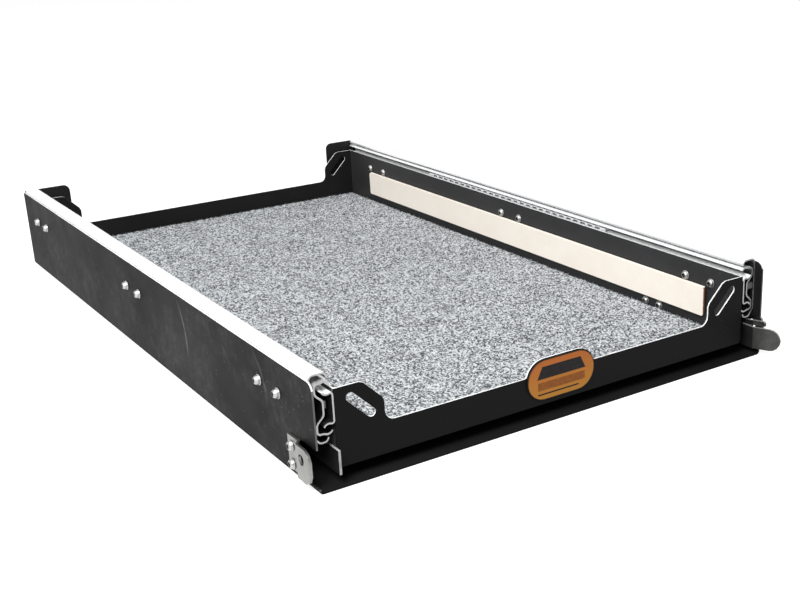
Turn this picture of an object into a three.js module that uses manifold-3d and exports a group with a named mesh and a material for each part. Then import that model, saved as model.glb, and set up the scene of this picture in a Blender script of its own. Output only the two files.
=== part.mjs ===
import * as THREE from 'three';
import { mergeVertices } from 'three/addons/utils/BufferGeometryUtils.js';
import Module from 'manifold-3d';

// Fridge slide: a fixed pan with two side plates, and a carpeted tray that runs out of it on a pair
// of three-member ball-bearing slides. X is across, Y runs to the back, Z is up, in millimetres.
// The origin is the middle of the pan's underside.

const wasm = await Module();
wasm.setup();

// Clearances
const gap = 0.3;
const runningGap = 0.2;
const holeClearance = 0.5;
const cutOverrun = 5;
const sharpestMitreShare = 0.8;

// Facets on round forms
const bendSteps = 4;
const cornerSteps = 5;
const rectangleSteps = 3;
const roundSteps = 6;
const holeSides = 16;
const ballSides = 6;
const ballRings = 4;
const wireSteps = 5;
const wireEndDegrees = 300;
const coilSteps = 8;

// Fixed pan
const baseWidth = 620;
const baseLength = 1020;
const sideHeight = 120;
const baseSheet = 2;
const baseBendRadius = 5;
const frontCornerRadius = 10;
const rearCornerRadius = 3;
const notchDepth = 41;
const notchTop = 49;
const notchBottom = 6;
const notchCornerRadius = 3;
const rearPanelHeight = 122;
const rearPanelLowHeight = 52;
const rearTabWidth = 71;
const rearTabRadius = 10;
const rearTabFootRadius = 9;
const rearFootDepth = 22;

// Slides: places across run from the side plate's inner face, heights from the slide's middle
const slideFrontInset = 12;
const slideRearInset = 4;
const slideCentreHeight = 86.5;
const screwDrop = 2;
const slideDepth = 25;
const slideSheet = 2;
const outerBallRadius = 3.8;
const innerBallRadius = 5.2;
const outerBallAcross = 11;
const outerBallRise = 32;
const innerBallAcross = 17.6;
const innerBallRise = 22;
const outerWebBottom = 28.5;
const outerTopFlat = 4.8;
const outerBottomFlat = 2.5;
const outerTopLipDegrees = -15;
const outerBottomLipDegrees = 5;
const middleCentreAcross = 14.5;
const middleEdgeAcross = 6.1;
const middleCentreHalf = 8;
const middleEdgeStart = 16;
const middleEdgeEnd = 25.5;
const innerWebTop = 14.4;
const innerCornerAcross = 22.8;
const innerCornerRise = 16;
const middleLead = 1;
const innerLead = 5;
const cageSheet = 1;
const cageLengthShare = 0.46;
const cageStartShare = 0.26;
const cageBalls = 8;
const outerCageHalfWidth = 3.6;
const innerCageHalfWidth = 4.6;
const cageEndMargin = 12;

// Tray
const traySheet = 2;
const trayUnderside = 19;
const trayFrontInset = 8;
const trayRiseAboveScrews = 21.5;
const trayLowHeight = 55.5;
const trayBendRadius = 4;
const trayRearGap = 8;
const trayTabWidth = 57;
const trayTabChamfer = 25;
const trayTabRadius = 6;
const trayTabFootRadius = 11;
const slotSpan = 32;
const slotWidth = 10;
const slotInset = 30;
const slotDrop = 25;
const slotFlat = 0.03;

// Carpet, board and badge
const carpetThickness = 6;
const carpetMargin = 5;
const carpetCornerRadius = 4;
const boardRearInset = 82;
const boardHeight = 39;
const boardThickness = 4.5;
const boardUnderside = 39.5;
const boardFrontInset = 59;
const boardCornerRadius = 3;
const tapeThickness = 0.9;
const tapeHeight = 25;
const tapeEndInset = 12;
const badgeWidth = 94;
const badgeHeight = 48;
const badgeThickness = 1.5;
const badgeUnderside = 25;
const badgeRimWidth = 2.5;
const badgeRimRise = 0.5;
const badgeRivetRadius = 1.5;
const badgeRivetSpacing = 60;
const badgeHumpMargin = 1;
const badgeHumpShoulder = 1.5;

// Fasteners
const screwRadius = 2.9;
const screwHeadRadius = 5.4;
const screwHeadHeight = 3.4;
const screwCrownRadius = 3;
const washerRadius = 6.2;
const washerThickness = 0.8;
const socketRadius = 2.1;
const socketDepth = 2;
const screwSides = 8;
const socketSides = 6;
const screwPairSpacing = 46;
const screwPairInset = 97;
const outerPairLag = 6;
const innerPairLead = 14;
const nutStripThickness = 2;
const nutStripHalfHeight = 5.4;
const nutStripEnd = 8;
const screwEndReach = 1;

// Keeper brackets on the side plates
const keeperSheet = 3;
const keeperStep = 5;
const keeperTop = 48;
const keeperBottom = 10;
const keeperFrontInset = 1;
const keeperFoldFront = 30;
const keeperFoldRear = 36;
const keeperRear = 59;
const keeperCornerChamfer = 11;
const keeperHoleRadius = 6;
const keeperHoleInset = 20;
const keeperHoleHeight = 34;
const keeperScrewInset = 51;
const keeperScrewLow = 16.5;
const keeperScrewSpacing = 20.5;

// Latch lever on the tray's right wall, and the guide plate on its left wall
const leverSheet = 3;
const leverFromWall = 15.5;
const leverPivotInset = 168;
const leverTop = 45.8;
const leverWaistTop = 38;
const leverWaistBottom = 23;
const leverFingerBottom = 39.8;
const leverFingerReach = 17;
const leverFingerRise = 4;
const leverFingerBevel = 1.5;
const leverSlitHeight = 2;
const leverSlitDepth = 20;
const paddleBottom = 9.8;
const paddleLength = 35;
const paddleBendInset = 2;
const paddleAngleDegrees = 24;
const paddleSteps = 8;
const lockPinRadius = 4;
const lockPinClearance = 0.5;
const pivotPinRadius = 3;
const pivotPinHeadRadius = 4.6;
const pivotPinHeadHeight = 1.6;
const pivotBarrelRadius = 5;
const hingeEarThickness = 2.5;
const hingePlateThickness = 2.5;
const hingePlateHalfLength = 24;
const hingeHalfHeight = 14;
const hingeHeight = 30;
const hingeScrewSpacing = 27;
const springWireRadius = 1;
const springTurns = 3;
const springRadius = 4.4;
const guidePlateThickness = 3;
const guidePlateTop = 42;
const guidePlateBottom = 15;
const guidePlateEndMargin = 8.5;
const guidePlateChamfer = 6;

// Stop bumpers
const bumperLength = 12;
const bumperHeight = 8;
const bumperThickness = 2.8;
const bumperRise = 2.5;
const bumperInset = 2;
const rearBufferRadius = 7;
const rearBufferInset = 60;
const rearBufferHeight = 38;
const rearBufferStud = 2.5;
const rearBufferNip = 0.4;

// Places worked out from the sizes
const halfWidth = baseWidth / 2;
const frontFace = -baseLength / 2;
const rearFace = baseLength / 2;
const plateInner = halfWidth - baseSheet;
const trayHalfWidth = plateInner - slideDepth;
const trayFront = frontFace + trayFrontInset;
const trayRear = rearFace - baseSheet - trayRearGap;
const trayWallInner = trayHalfWidth - traySheet;
const trayWallRear = trayFront + traySheet + gap;
const trayRearWallFront = trayRear - traySheet - gap;
const rearBufferLength = trayRearGap - gap - rearBufferNip;
const slideFront = frontFace + slideFrontInset;
const slideLength = baseLength - slideFrontInset - slideRearInset;
const screwHeight = slideCentreHeight - screwDrop;
const trayTabHeight = screwHeight + trayRiseAboveScrews;
const outerWebAcross = gap + slideSheet / 2;
const innerWebAcross = slideDepth - gap - slideSheet / 2;
const guidePlateLength = leverPivotInset + hingeScrewSpacing / 2 + guidePlateEndMargin;
const sides = [{ name: 'left', sign: -1 }, { name: 'right', sign: 1 }];

// Colours
const finishes = {
  powderCoat: { color: 0x1b1b1d, roughness: 0.55, metalness: 0.1 },
  zinc: { color: 0xc4c6c8, roughness: 0.32, metalness: 0.9 },
  brightSteel: { color: 0xd5d7d9, roughness: 0.25, metalness: 1 },
  ball: { color: 0xe2e4e6, roughness: 0.12, metalness: 1 },
  steel: { color: 0x7c7c78, roughness: 0.45, metalness: 0.9 },
  carpet: { color: 0xa2a3a5, roughness: 1, metalness: 0 },
  board: { color: 0xeae0d4, roughness: 0.6, metalness: 0 },
  tape: { color: 0x2a2a2a, roughness: 0.8, metalness: 0 },
  badge: { color: 0xd98a1f, roughness: 0.4, metalness: 0.1 },
  rubber: { color: 0x151515, roughness: 0.85, metalness: 0 },
};

// Boolean helpers

function toSolid(geometry) {
  const bare = geometry.clone();
  bare.deleteAttribute('normal');
  bare.deleteAttribute('uv');
  const merged = mergeVertices(bare);
  return new wasm.Manifold(new wasm.Mesh({
    numProp: 3,
    vertProperties: new Float32Array(merged.attributes.position.array),
    triVerts: new Uint32Array(merged.index.array),
  }));
}

function toGeometry(solid) {
  const mesh = solid.getMesh();
  const geometry = new THREE.BufferGeometry();
  geometry.setAttribute('position', new THREE.BufferAttribute(new Float32Array(mesh.vertProperties), 3));
  geometry.setIndex(new THREE.BufferAttribute(new Uint32Array(mesh.triVerts), 1));
  geometry.computeVertexNormals();
  return geometry;
}

function cut(geometry, tools) {
  let solid = toSolid(geometry);
  for (const tool of tools) {
    solid = solid.subtract(toSolid(tool));
  }
  return toGeometry(solid);
}

function join(geometries) {
  let solid = toSolid(geometries[0]);
  for (const geometry of geometries.slice(1)) {
    solid = solid.add(toSolid(geometry));
  }
  return toGeometry(solid);
}

// Shape helpers

function block(low, high) {
  const size = high.map((value, axis) => value - low[axis]);
  const geometry = new THREE.BoxGeometry(size[0], size[1], size[2]);
  geometry.translate(low[0] + size[0] / 2, low[1] + size[1] / 2, low[2] + size[2] / 2);
  return geometry;
}

function polygon(points) {
  return new THREE.Shape(points.map(([x, y]) => new THREE.Vector2(x, y)));
}

function arc(centre, radius, startDegrees, endDegrees, steps) {
  const points = [];
  for (let step = 0; step <= steps; step += 1) {
    const share = step / steps;
    const angle = THREE.MathUtils.degToRad(startDegrees + (endDegrees - startDegrees) * share);
    points.push([centre[0] + radius * Math.cos(angle), centre[1] + radius * Math.sin(angle)]);
  }
  return points;
}

// A strip of even thickness that follows a centre line, as a closed outline
function stripOutline(line, thickness) {
  const half = thickness / 2;
  const left = [];
  const right = [];
  for (let index = 0; index < line.length; index += 1) {
    const here = new THREE.Vector2(...line[index]);
    const before = new THREE.Vector2(...line[Math.max(index - 1, 0)]);
    const after = new THREE.Vector2(...line[Math.min(index + 1, line.length - 1)]);
    const arriving = here.clone().sub(before).normalize();
    const leaving = after.clone().sub(here).normalize();
    const first = arriving.lengthSq() > 0 ? arriving : leaving;
    const second = leaving.lengthSq() > 0 ? leaving : arriving;
    const normal = new THREE.Vector2(-first.y - second.y, first.x + second.x).normalize();
    const lean = normal.dot(new THREE.Vector2(-first.y, first.x));
    const mitre = half / Math.max(lean, sharpestMitreShare);
    left.push([here.x + normal.x * mitre, here.y + normal.y * mitre]);
    right.push([here.x - normal.x * mitre, here.y - normal.y * mitre]);
  }
  return left.concat(right.reverse());
}

// An outline in X and Z, run along Y from start to end
function alongY(points, start, end) {
  const geometry = new THREE.ExtrudeGeometry(polygon(points), { depth: end - start, bevelEnabled: false });
  geometry.rotateX(Math.PI / 2);
  geometry.translate(0, end, 0);
  return geometry;
}

// An outline in Y and Z, run along X from start to end
function alongX(points, start, end) {
  const geometry = new THREE.ExtrudeGeometry(polygon(points), { depth: end - start, bevelEnabled: false });
  geometry.rotateY(Math.PI / 2);
  geometry.rotateX(Math.PI / 2);
  geometry.translate(start, 0, 0);
  return geometry;
}

// An outline in X and Y, run up Z from start to end
function alongZ(points, start, end) {
  const geometry = new THREE.ExtrudeGeometry(polygon(points), { depth: end - start, bevelEnabled: false });
  geometry.translate(0, 0, start);
  return geometry;
}

function roundedRectangle(low, high, radius, steps = 3) {
  return [
    ...arc([high[0] - radius, high[1] - radius], radius, 0, 90, steps),
    ...arc([low[0] + radius, high[1] - radius], radius, 90, 180, steps),
    ...arc([low[0] + radius, low[1] + radius], radius, 180, 270, steps),
    ...arc([high[0] - radius, low[1] + radius], radius, 270, 360, steps),
  ];
}

// A round bar along X between two places
function barAlongX(radius, from, to, y, z, segments = screwSides) {
  const geometry = new THREE.CylinderGeometry(radius, radius, Math.abs(to - from), segments);
  geometry.rotateZ(Math.PI / 2);
  geometry.translate((from + to) / 2, y, z);
  return geometry;
}

function barAlongZ(radius, from, to, x, y, segments = screwSides) {
  const geometry = new THREE.CylinderGeometry(radius, radius, Math.abs(to - from), segments);
  geometry.rotateX(Math.PI / 2);
  geometry.translate(x, y, (from + to) / 2);
  return geometry;
}

const group = new THREE.Group();

function place(name, geometry, finish) {
  const mesh = new THREE.Mesh(geometry, new THREE.MeshStandardMaterial(finishes[finish]));
  mesh.name = name;
  group.add(mesh);
}

// Screw places, shared by the screws and the holes they pass through

const pairCentres = [frontFace + screwPairInset, 0, rearFace - screwPairInset];
const basePairCentres = pairCentres.map((y) => y + outerPairLag);
const trayPairCentres = pairCentres.map((y) => y - innerPairLead);
const pairNames = ['front', 'middle', 'rear'];

function pairPlaces(centre, spacing, z) {
  return [-1, 1].map((step) => ({ y: centre + (step * spacing) / 2, z }));
}

const basePairs = basePairCentres.map((y) => pairPlaces(y, screwPairSpacing, screwHeight));
const trayPairs = trayPairCentres.map((y) => pairPlaces(y, screwPairSpacing, screwHeight));
const keeperPlaces = [0, 1].map((step) => ({
  y: frontFace + keeperScrewInset,
  z: keeperScrewLow + step * keeperScrewSpacing,
}));
const hingePlaces = pairPlaces(frontFace + leverPivotInset, hingeScrewSpacing, hingeHeight);

function holesAlongX(places, sign, nearAcross, farAcross) {
  const from = sign * (nearAcross - cutOverrun);
  const to = sign * (farAcross + cutOverrun);
  return places.map(({ y, z }) => barAlongX(screwRadius + holeClearance, from, to, y, z));
}

// Fixed pan

function makeBasePan() {
  const radius = baseBendRadius - baseSheet / 2;
  const reach = halfWidth - baseSheet / 2;
  const height = sideHeight;
  const line = [
    [-reach, height],
    ...arc([-reach + radius, radius + baseSheet / 2], radius, 180, 270, bendSteps),
    ...arc([reach - radius, radius + baseSheet / 2], radius, 270, 360, bendSteps),
    [reach, height],
  ];
  const tools = [];
  for (const { sign } of sides) {
    const near = sign * (halfWidth - baseBendRadius);
    const far = sign * (halfWidth + cutOverrun);
    const notch = roundedRectangle(
      [frontFace - cutOverrun - notchCornerRadius, notchBottom],
      [frontFace + notchDepth, notchTop],
      notchCornerRadius,
    );
    tools.push(alongX(notch, Math.min(near, far), Math.max(near, far)));
    const ends = [[frontFace, 1, frontCornerRadius], [rearFace, -1, rearCornerRadius]];
    for (const [edge, inward, corner] of ends) {
      const centre = [edge + inward * corner, height - corner];
      const bow = arc(centre, corner, 90, 90 + inward * 90, cornerSteps);
      const waste = [
        [edge - inward * cutOverrun, height + cutOverrun],
        [edge + inward * corner, height + cutOverrun],
        ...bow,
        [edge - inward * cutOverrun, height - corner],
      ];
      tools.push(alongX(waste, Math.min(near, far), Math.max(near, far)));
    }
    for (const places of [...basePairs, keeperPlaces]) {
      tools.push(...holesAlongX(places, sign, plateInner, halfWidth));
    }
  }
  const folded = alongY(stripOutline(line, baseSheet), frontFace, rearFace);
  place('base_pan', cut(folded, tools), 'powderCoat');
}

// A wall with tall corner tabs and a low middle, drawn in X and Z and mirrored about the middle
function tabbedOutline(half, bottom, tabTop, lowTop, tabWidth, tabCorner, footRadius) {
  const edge = half - tabWidth;
  const right = [
    [half, bottom],
    [half, tabTop],
    ...tabCorner,
    ...arc([edge - footRadius, lowTop + footRadius], footRadius, 0, -90, bendSteps),
  ];
  const left = right.map(([x, z]) => [-x, z]).reverse();
  return { right, left };
}

function makeRearPanel() {
  const half = plateInner - gap;
  const bottom = baseSheet + gap;
  const edge = half - rearTabWidth;
  const cornerCentre = [edge + rearTabRadius, rearPanelHeight - rearTabRadius];
  const corner = arc(cornerCentre, rearTabRadius, 90, 180, bendSteps);
  const { right, left } = tabbedOutline(
    half, baseBendRadius, rearPanelHeight, rearPanelLowHeight, rearTabWidth, corner, rearTabFootRadius,
  );
  const footHalf = halfWidth - baseBendRadius - gap;
  const outline = [[footHalf, bottom], [footHalf, baseBendRadius], ...right, ...left];
  outline.push([-footHalf, baseBendRadius], [-footHalf, bottom]);
  const wall = alongY(outline, rearFace - baseSheet, rearFace);
  const foot = block(
    [-footHalf, rearFace - rearFootDepth, bottom],
    [footHalf, rearFace - baseSheet / 2, bottom + baseSheet],
  );
  const tools = sides.map(({ sign }) => {
    const holeRadius = rearBufferStud + holeClearance;
    const holeDepth = baseSheet + 2 * cutOverrun;
    const hole = new THREE.CylinderGeometry(holeRadius, holeRadius, holeDepth, screwSides);
    hole.translate(sign * (trayHalfWidth - rearBufferInset), rearFace - baseSheet / 2, rearBufferHeight);
    return hole;
  });
  place('base_rear_panel', cut(join([wall, foot]), tools), 'powderCoat');
}

// Slide members, drawn for the left side as places across and heights, then mirrored for the right

function sideLine(line, sign) {
  return line.map(([across, rise]) => [sign * (plateInner - across), slideCentreHeight + rise]);
}

const outerRaceRadius = outerBallRadius + runningGap + slideSheet / 2;

function outerRace(up, startDegrees, endDegrees, steps, shift = 0) {
  const centre = [outerBallAcross + shift, up * outerBallRise];
  return arc(centre, outerRaceRadius, up * startDegrees, up * endDegrees, steps);
}

function innerRace(up, startDegrees, endDegrees, steps) {
  const radius = innerBallRadius + runningGap + slideSheet / 2;
  return arc([innerBallAcross, up * innerBallRise], radius, up * startDegrees, up * endDegrees, steps);
}

// The top is a broad cap from the web to the lip; the bottom slopes away from the web
function outerLine() {
  const shoulder = outerWebAcross + outerRaceRadius - outerBallAcross;
  const top = [
    ...outerRace(1, 180, 90, rectangleSteps, shoulder),
    ...outerRace(1, 90, outerTopLipDegrees, bendSteps, outerTopFlat),
  ];
  const bottom = [
    [outerWebAcross, -outerWebBottom],
    ...outerRace(-1, 150, 90, bendSteps / 2),
    ...outerRace(-1, 90, outerBottomLipDegrees, rectangleSteps, outerBottomFlat),
  ];
  return [...bottom.reverse(), ...top];
}

function middleLine() {
  const half = (up) => [
    [middleCentreAcross, up * middleCentreHalf],
    [middleEdgeAcross, up * middleEdgeStart],
    [middleEdgeAcross, up * middleEdgeEnd],
    ...outerRace(up, -150, -90, bendSteps / 2),
    ...innerRace(up, 150, 30, bendSteps),
  ];
  return [...half(-1).reverse(), ...half(1)];
}

function innerLine() {
  const half = (up) => [
    [innerWebAcross, up * innerWebTop],
    [innerCornerAcross, up * innerCornerRise],
    ...innerRace(up, -60, -150, rectangleSteps),
  ];
  return [...half(-1).reverse(), ...half(1)];
}

function makeSlideMembers() {
  const members = [
    { name: 'outer_member', line: outerLine(), lead: 0, pairs: basePairs, across: outerWebAcross },
    { name: 'middle_member', line: middleLine(), lead: middleLead, pairs: [], across: middleCentreAcross },
    { name: 'inner_member', line: innerLine(), lead: innerLead, pairs: trayPairs, across: innerWebAcross },
  ];
  for (const { name: side, sign } of sides) {
    for (const { name, line, lead, pairs, across } of members) {
      const start = slideFront - lead;
      const bar = alongY(stripOutline(sideLine(line, sign), slideSheet), start, start + slideLength);
      const centre = plateInner - across;
      const near = centre - slideSheet / 2;
      const far = centre + slideSheet / 2;
      const reach = cutOverrun - slideSheet;
      const tools = pairs.flatMap((pair) => pair.map(({ y, z }) => (
        barAlongX(screwRadius + holeClearance, sign * (near - reach), sign * (far + reach), y, z)
      )));
      place(`${name}_${side}`, cut(bar, tools), 'zinc');
    }
  }
}

// A retainer strip with its balls, one above and one below in each ball race
function makeCages() {
  const cageLength = slideLength * cageLengthShare;
  const races = [
    {
      name: 'outer_cage',
      across: outerBallAcross,
      rise: outerBallRise,
      half: outerCageHalfWidth,
      radius: outerBallRadius,
    },
    {
      name: 'inner_cage',
      across: innerBallAcross,
      rise: innerBallRise,
      half: innerCageHalfWidth,
      radius: innerBallRadius,
    },
  ];
  const levels = [{ name: 'top', up: 1 }, { name: 'bottom', up: -1 }];
  for (const { name: side, sign } of sides) {
    for (const { name, across, rise, half, radius } of races) {
      for (const { name: level, up } of levels) {
        const x = sign * (plateInner - across);
        const z = slideCentreHeight + up * rise;
        const start = slideFront + slideLength * cageStartShare;
        const pieces = [block(
          [x - half, start, z - cageSheet / 2],
          [x + half, start + cageLength, z + cageSheet / 2],
        )];
        const pitch = (cageLength - 2 * cageEndMargin) / (cageBalls - 1);
        for (let ball = 0; ball < cageBalls; ball += 1) {
          const sphere = new THREE.SphereGeometry(radius, ballSides, ballRings);
          sphere.translate(x, start + cageEndMargin + pitch * ball, z);
          pieces.push(sphere);
        }
        place(`${name}_${side}_${level}`, join(pieces), 'ball');
      }
    }
  }
}

// Tray

function badgeHump() {
  const half = badgeWidth / 2 + badgeHumpMargin;
  const top = badgeUnderside + badgeHeight + badgeHumpMargin;
  const foot = half + badgeHumpShoulder;
  const low = trayLowHeight;
  return { half, top, foot, low };
}

// The trough: a floor with its long edges turned up, and a side wall welded on each edge
function makeTrayPan() {
  const bend = trayBendRadius - traySheet / 2;
  const reach = trayHalfWidth - traySheet / 2;
  const floor = trayUnderside + traySheet / 2;
  const line = [
    ...arc([-reach + bend, floor + bend], bend, 180, 270, bendSteps),
    ...arc([reach - bend, floor + bend], bend, 270, 360, bendSteps),
  ];
  const pan = alongY(stripOutline(line, traySheet), trayWallRear, trayRearWallFront);
  place('tray_pan', pan, 'powderCoat');
  const foot = floor + bend + gap;
  for (const { name: side, sign } of sides) {
    const wall = block(
      [Math.min(sign * trayWallInner, sign * trayHalfWidth), trayWallRear, foot],
      [Math.max(sign * trayWallInner, sign * trayHalfWidth), trayRearWallFront, trayTabHeight],
    );
    const tools = [...trayPairs, hingePlaces].flatMap((pair) => (
      holesAlongX(pair, sign, trayWallInner, trayHalfWidth)
    ));
    place(`tray_side_${side}`, cut(wall, tools), 'powderCoat');
  }
}

// The end walls close the trough, with a tall slotted tab at each corner
function makeTrayWalls() {
  const edge = trayHalfWidth - trayTabWidth;
  const slopeTop = [edge + trayTabChamfer, trayTabHeight];
  const slopeFoot = [edge, trayTabHeight - trayTabChamfer];
  const corner = [
    [slopeTop[0] + trayTabRadius / 2, slopeTop[1]],
    [slopeTop[0] - trayTabRadius / 3, slopeTop[1] - trayTabRadius / 3],
    [slopeFoot[0] + trayTabRadius / 3, slopeFoot[1] + trayTabRadius / 3],
    [slopeFoot[0], slopeFoot[1] - trayTabRadius / 2],
  ];
  const { right, left } = tabbedOutline(
    trayHalfWidth, trayUnderside + trayBendRadius, trayTabHeight, trayLowHeight,
    trayTabWidth, corner, trayTabFootRadius,
  );
  const footCentre = [trayHalfWidth - trayBendRadius, trayUnderside + trayBendRadius];
  const foot = arc(footCentre, trayBendRadius, 270, 360, rectangleSteps).slice(0, -1);
  const footLeft = foot.map(([x, z]) => [-x, z]).reverse();
  const hump = badgeHump();
  const humpLine = [
    [hump.foot, hump.low],
    ...arc([hump.half - badgeHeight / 2, hump.top - badgeHeight / 2], badgeHeight / 2, 15, 90, bendSteps),
  ];
  const humpOutline = [...humpLine, ...humpLine.map(([x, z]) => [-x, z]).reverse()];
  const walls = [
    { name: 'tray_front_wall', top: humpOutline, start: trayFront },
    { name: 'tray_rear_wall', top: [], start: trayRear - traySheet },
  ];
  for (const { name, top, start } of walls) {
    const outline = [...foot, ...right, ...top, ...left, ...footLeft];
    const tools = sides.map(({ sign }) => {
      const slot = roundedRectangle(
        [-slotSpan / 2 - slotWidth / 2, -slotWidth / 2],
        [slotSpan / 2 + slotWidth / 2, slotWidth / 2],
        slotWidth / 2 - slotFlat,
        bendSteps,
      );
      const depth = 2 * cutOverrun;
      const tool = new THREE.ExtrudeGeometry(polygon(slot), { depth, bevelEnabled: false });
      tool.translate(0, 0, -cutOverrun);
      tool.rotateZ((sign * Math.PI) / 4);
      tool.rotateX(Math.PI / 2);
      tool.translate(sign * (trayHalfWidth - slotInset), start, trayTabHeight - slotDrop);
      return tool;
    });
    if (top.length > 0) {
      for (const step of [-1, 1]) {
        const holeRadius = badgeRivetRadius + gap;
        const hole = new THREE.CylinderGeometry(holeRadius, holeRadius, 2 * cutOverrun, screwSides);
        hole.translate((step * badgeRivetSpacing) / 2, start, badgeUnderside + badgeHeight / 2);
        tools.push(hole);
      }
    }
    place(name, cut(alongY(outline, start, start + traySheet), tools), 'powderCoat');
  }
}

function makeCarpet() {
  const margin = carpetMargin + traySheet;
  const outline = roundedRectangle(
    [-trayHalfWidth + margin, trayFront + margin],
    [trayHalfWidth - margin, trayRear - margin],
    carpetCornerRadius,
  );
  const low = trayUnderside + traySheet + gap;
  place('carpet', alongZ(outline, low, low + carpetThickness), 'carpet');
}

function makeBoard() {
  const start = trayFront + boardFrontInset;
  const end = trayRear - boardRearInset;
  const tapeOuter = trayWallInner - gap;
  const tapeInner = tapeOuter - tapeThickness;
  const boardOuter = tapeInner - gap;
  const outline = roundedRectangle(
    [start, boardUnderside],
    [end, boardUnderside + boardHeight],
    boardCornerRadius,
  );
  place('side_board', alongX(outline, boardOuter - boardThickness, boardOuter), 'board');
  const tapeLow = boardUnderside + (boardHeight - tapeHeight) / 2;
  place('board_tape', block(
    [tapeInner, start + tapeEndInset, tapeLow],
    [tapeOuter, end - tapeEndInset, tapeLow + tapeHeight],
  ), 'tape');
}

function makeBadge() {
  const half = badgeWidth / 2;
  const top = badgeUnderside + badgeHeight;
  const radius = badgeHeight / 2 - gap;
  const back = trayFront - gap;
  const face = back - badgeThickness;
  const rim = roundedRectangle([-half, badgeUnderside], [half, top], radius, roundSteps);
  const plate = alongY(rim, face - badgeRimRise, back);
  const field = alongY(roundedRectangle(
    [-half + badgeRimWidth, badgeUnderside + badgeRimWidth],
    [half - badgeRimWidth, top - badgeRimWidth],
    radius - badgeRimWidth,
    roundSteps,
  ), face - cutOverrun, face);
  const studs = [-1, 1].map((step) => {
    const inside = trayFront + traySheet + 2 * gap;
    const length = inside - face;
    const stud = new THREE.CylinderGeometry(badgeRivetRadius, badgeRivetRadius, length, screwSides);
    stud.translate((step * badgeRivetSpacing) / 2, (inside + face) / 2, badgeUnderside + badgeHeight / 2);
    return stud;
  });
  place('badge', join([cut(plate, [field]), ...studs]), 'badge');
}

// A pan-head screw with its washer, its seat on a plane at one place across and its point inward.
// dir is +1 where the point runs towards +X.
function screwPieces(seat, dir, tip, y, z) {
  const profile = [
    [0, -washerThickness - screwHeadHeight],
    [screwCrownRadius, -washerThickness - screwHeadHeight],
    [screwHeadRadius, -washerThickness - screwHeadHeight / 3],
    [screwHeadRadius, -washerThickness],
    [washerRadius, -washerThickness],
    [washerRadius, 0],
    [screwRadius, 0],
    [screwRadius, Math.abs(tip - seat)],
    [0, Math.abs(tip - seat)],
  ].map(([radius, along]) => new THREE.Vector2(radius, along));
  const body = new THREE.LatheGeometry(profile, screwSides);
  const socket = new THREE.CylinderGeometry(socketRadius, socketRadius, 2 * socketDepth, socketSides);
  socket.translate(0, -washerThickness - screwHeadHeight, 0);
  const screw = cut(body, [socket]);
  screw.rotateZ(-(dir * Math.PI) / 2);
  screw.translate(seat, y, z);
  return screw;
}

function screwSet(name, places, seat, dir, stripNear, alongHeight = false) {
  const stripFar = stripNear + dir * nutStripThickness;
  const tip = stripFar + dir * screwEndReach;
  const pieces = places.map(({ y, z }) => screwPieces(seat, dir, tip, y, z));
  const ys = places.map(({ y }) => y);
  const zs = places.map(({ z }) => z);
  const endY = alongHeight ? nutStripHalfHeight : nutStripEnd;
  const endZ = alongHeight ? nutStripEnd : nutStripHalfHeight;
  pieces.push(block(
    [Math.min(stripNear, stripFar), Math.min(...ys) - endY, Math.min(...zs) - endZ],
    [Math.max(stripNear, stripFar), Math.max(...ys) + endY, Math.max(...zs) + endZ],
  ));
  place(name, join(pieces), 'zinc');
}

function makeScrews() {
  for (const { name: side, sign } of sides) {
    basePairs.forEach((places, index) => {
      const seat = sign * (halfWidth + gap);
      const strip = sign * (plateInner - outerWebAcross - slideSheet / 2 - gap);
      screwSet(`base_screws_${side}_${pairNames[index]}`, places, seat, -sign, strip);
    });
    trayPairs.forEach((places, index) => {
      const seat = sign * (trayWallInner - gap);
      const strip = sign * (plateInner - innerWebAcross + slideSheet / 2 + gap);
      screwSet(`tray_screws_${side}_${pairNames[index]}`, places, seat, sign, strip);
    });
  }
}

// Keeper brackets: screwed to the side plate, stepped outward, with a round hole for the lock pin

function makeKeepers() {
  for (const { name: side, sign } of sides) {
    const seat = halfWidth + gap + keeperSheet / 2;
    const line = [
      [sign * seat, frontFace + keeperRear],
      [sign * seat, frontFace + keeperFoldRear],
      [sign * (seat + keeperStep), frontFace + keeperFoldFront],
      [sign * (seat + keeperStep), frontFace + keeperFrontInset],
    ];
    const plate = alongZ(stripOutline(line, keeperSheet), keeperBottom, keeperTop);
    const reaches = [sign * (halfWidth - cutOverrun), sign * (seat + keeperStep + 2 * cutOverrun)];
    const near = Math.min(...reaches);
    const far = Math.max(...reaches);
    const front = frontFace + keeperFrontInset;
    const tools = [keeperBottom, keeperTop].map((edge) => {
      const inward = edge === keeperTop ? -1 : 1;
      return alongX([
        [front - cutOverrun, edge - inward * cutOverrun],
        [front + keeperCornerChamfer, edge - inward * cutOverrun],
        [front + keeperCornerChamfer, edge],
        [front + keeperCornerChamfer / 3, edge + (inward * keeperCornerChamfer) / 3],
        [front, edge + inward * keeperCornerChamfer],
        [front - cutOverrun, edge + inward * keeperCornerChamfer],
      ], near, far);
    });
    const pinHoleY = frontFace + keeperHoleInset;
    tools.push(barAlongX(keeperHoleRadius, near, far, pinHoleY, keeperHoleHeight, holeSides));
    tools.push(...keeperPlaces.map(({ y, z }) => barAlongX(screwRadius + holeClearance, near, far, y, z)));
    place(`keeper_bracket_${side}`, cut(plate, tools), 'zinc');
    const screwSeat = sign * (halfWidth + keeperSheet + 2 * gap);
    screwSet(`keeper_screws_${side}`, keeperPlaces, screwSeat, -sign, sign * (plateInner - gap), true);
  }
}

// Latch: hinge bracket on the tray's right wall, pin, lever with its paddle, and return spring

const leverInner = trayHalfWidth + leverFromWall;
const leverMiddle = leverInner + leverSheet / 2;
const pivotAcross = leverInner - pivotBarrelRadius + leverSheet;
const pivotY = frontFace + leverPivotInset;

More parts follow.
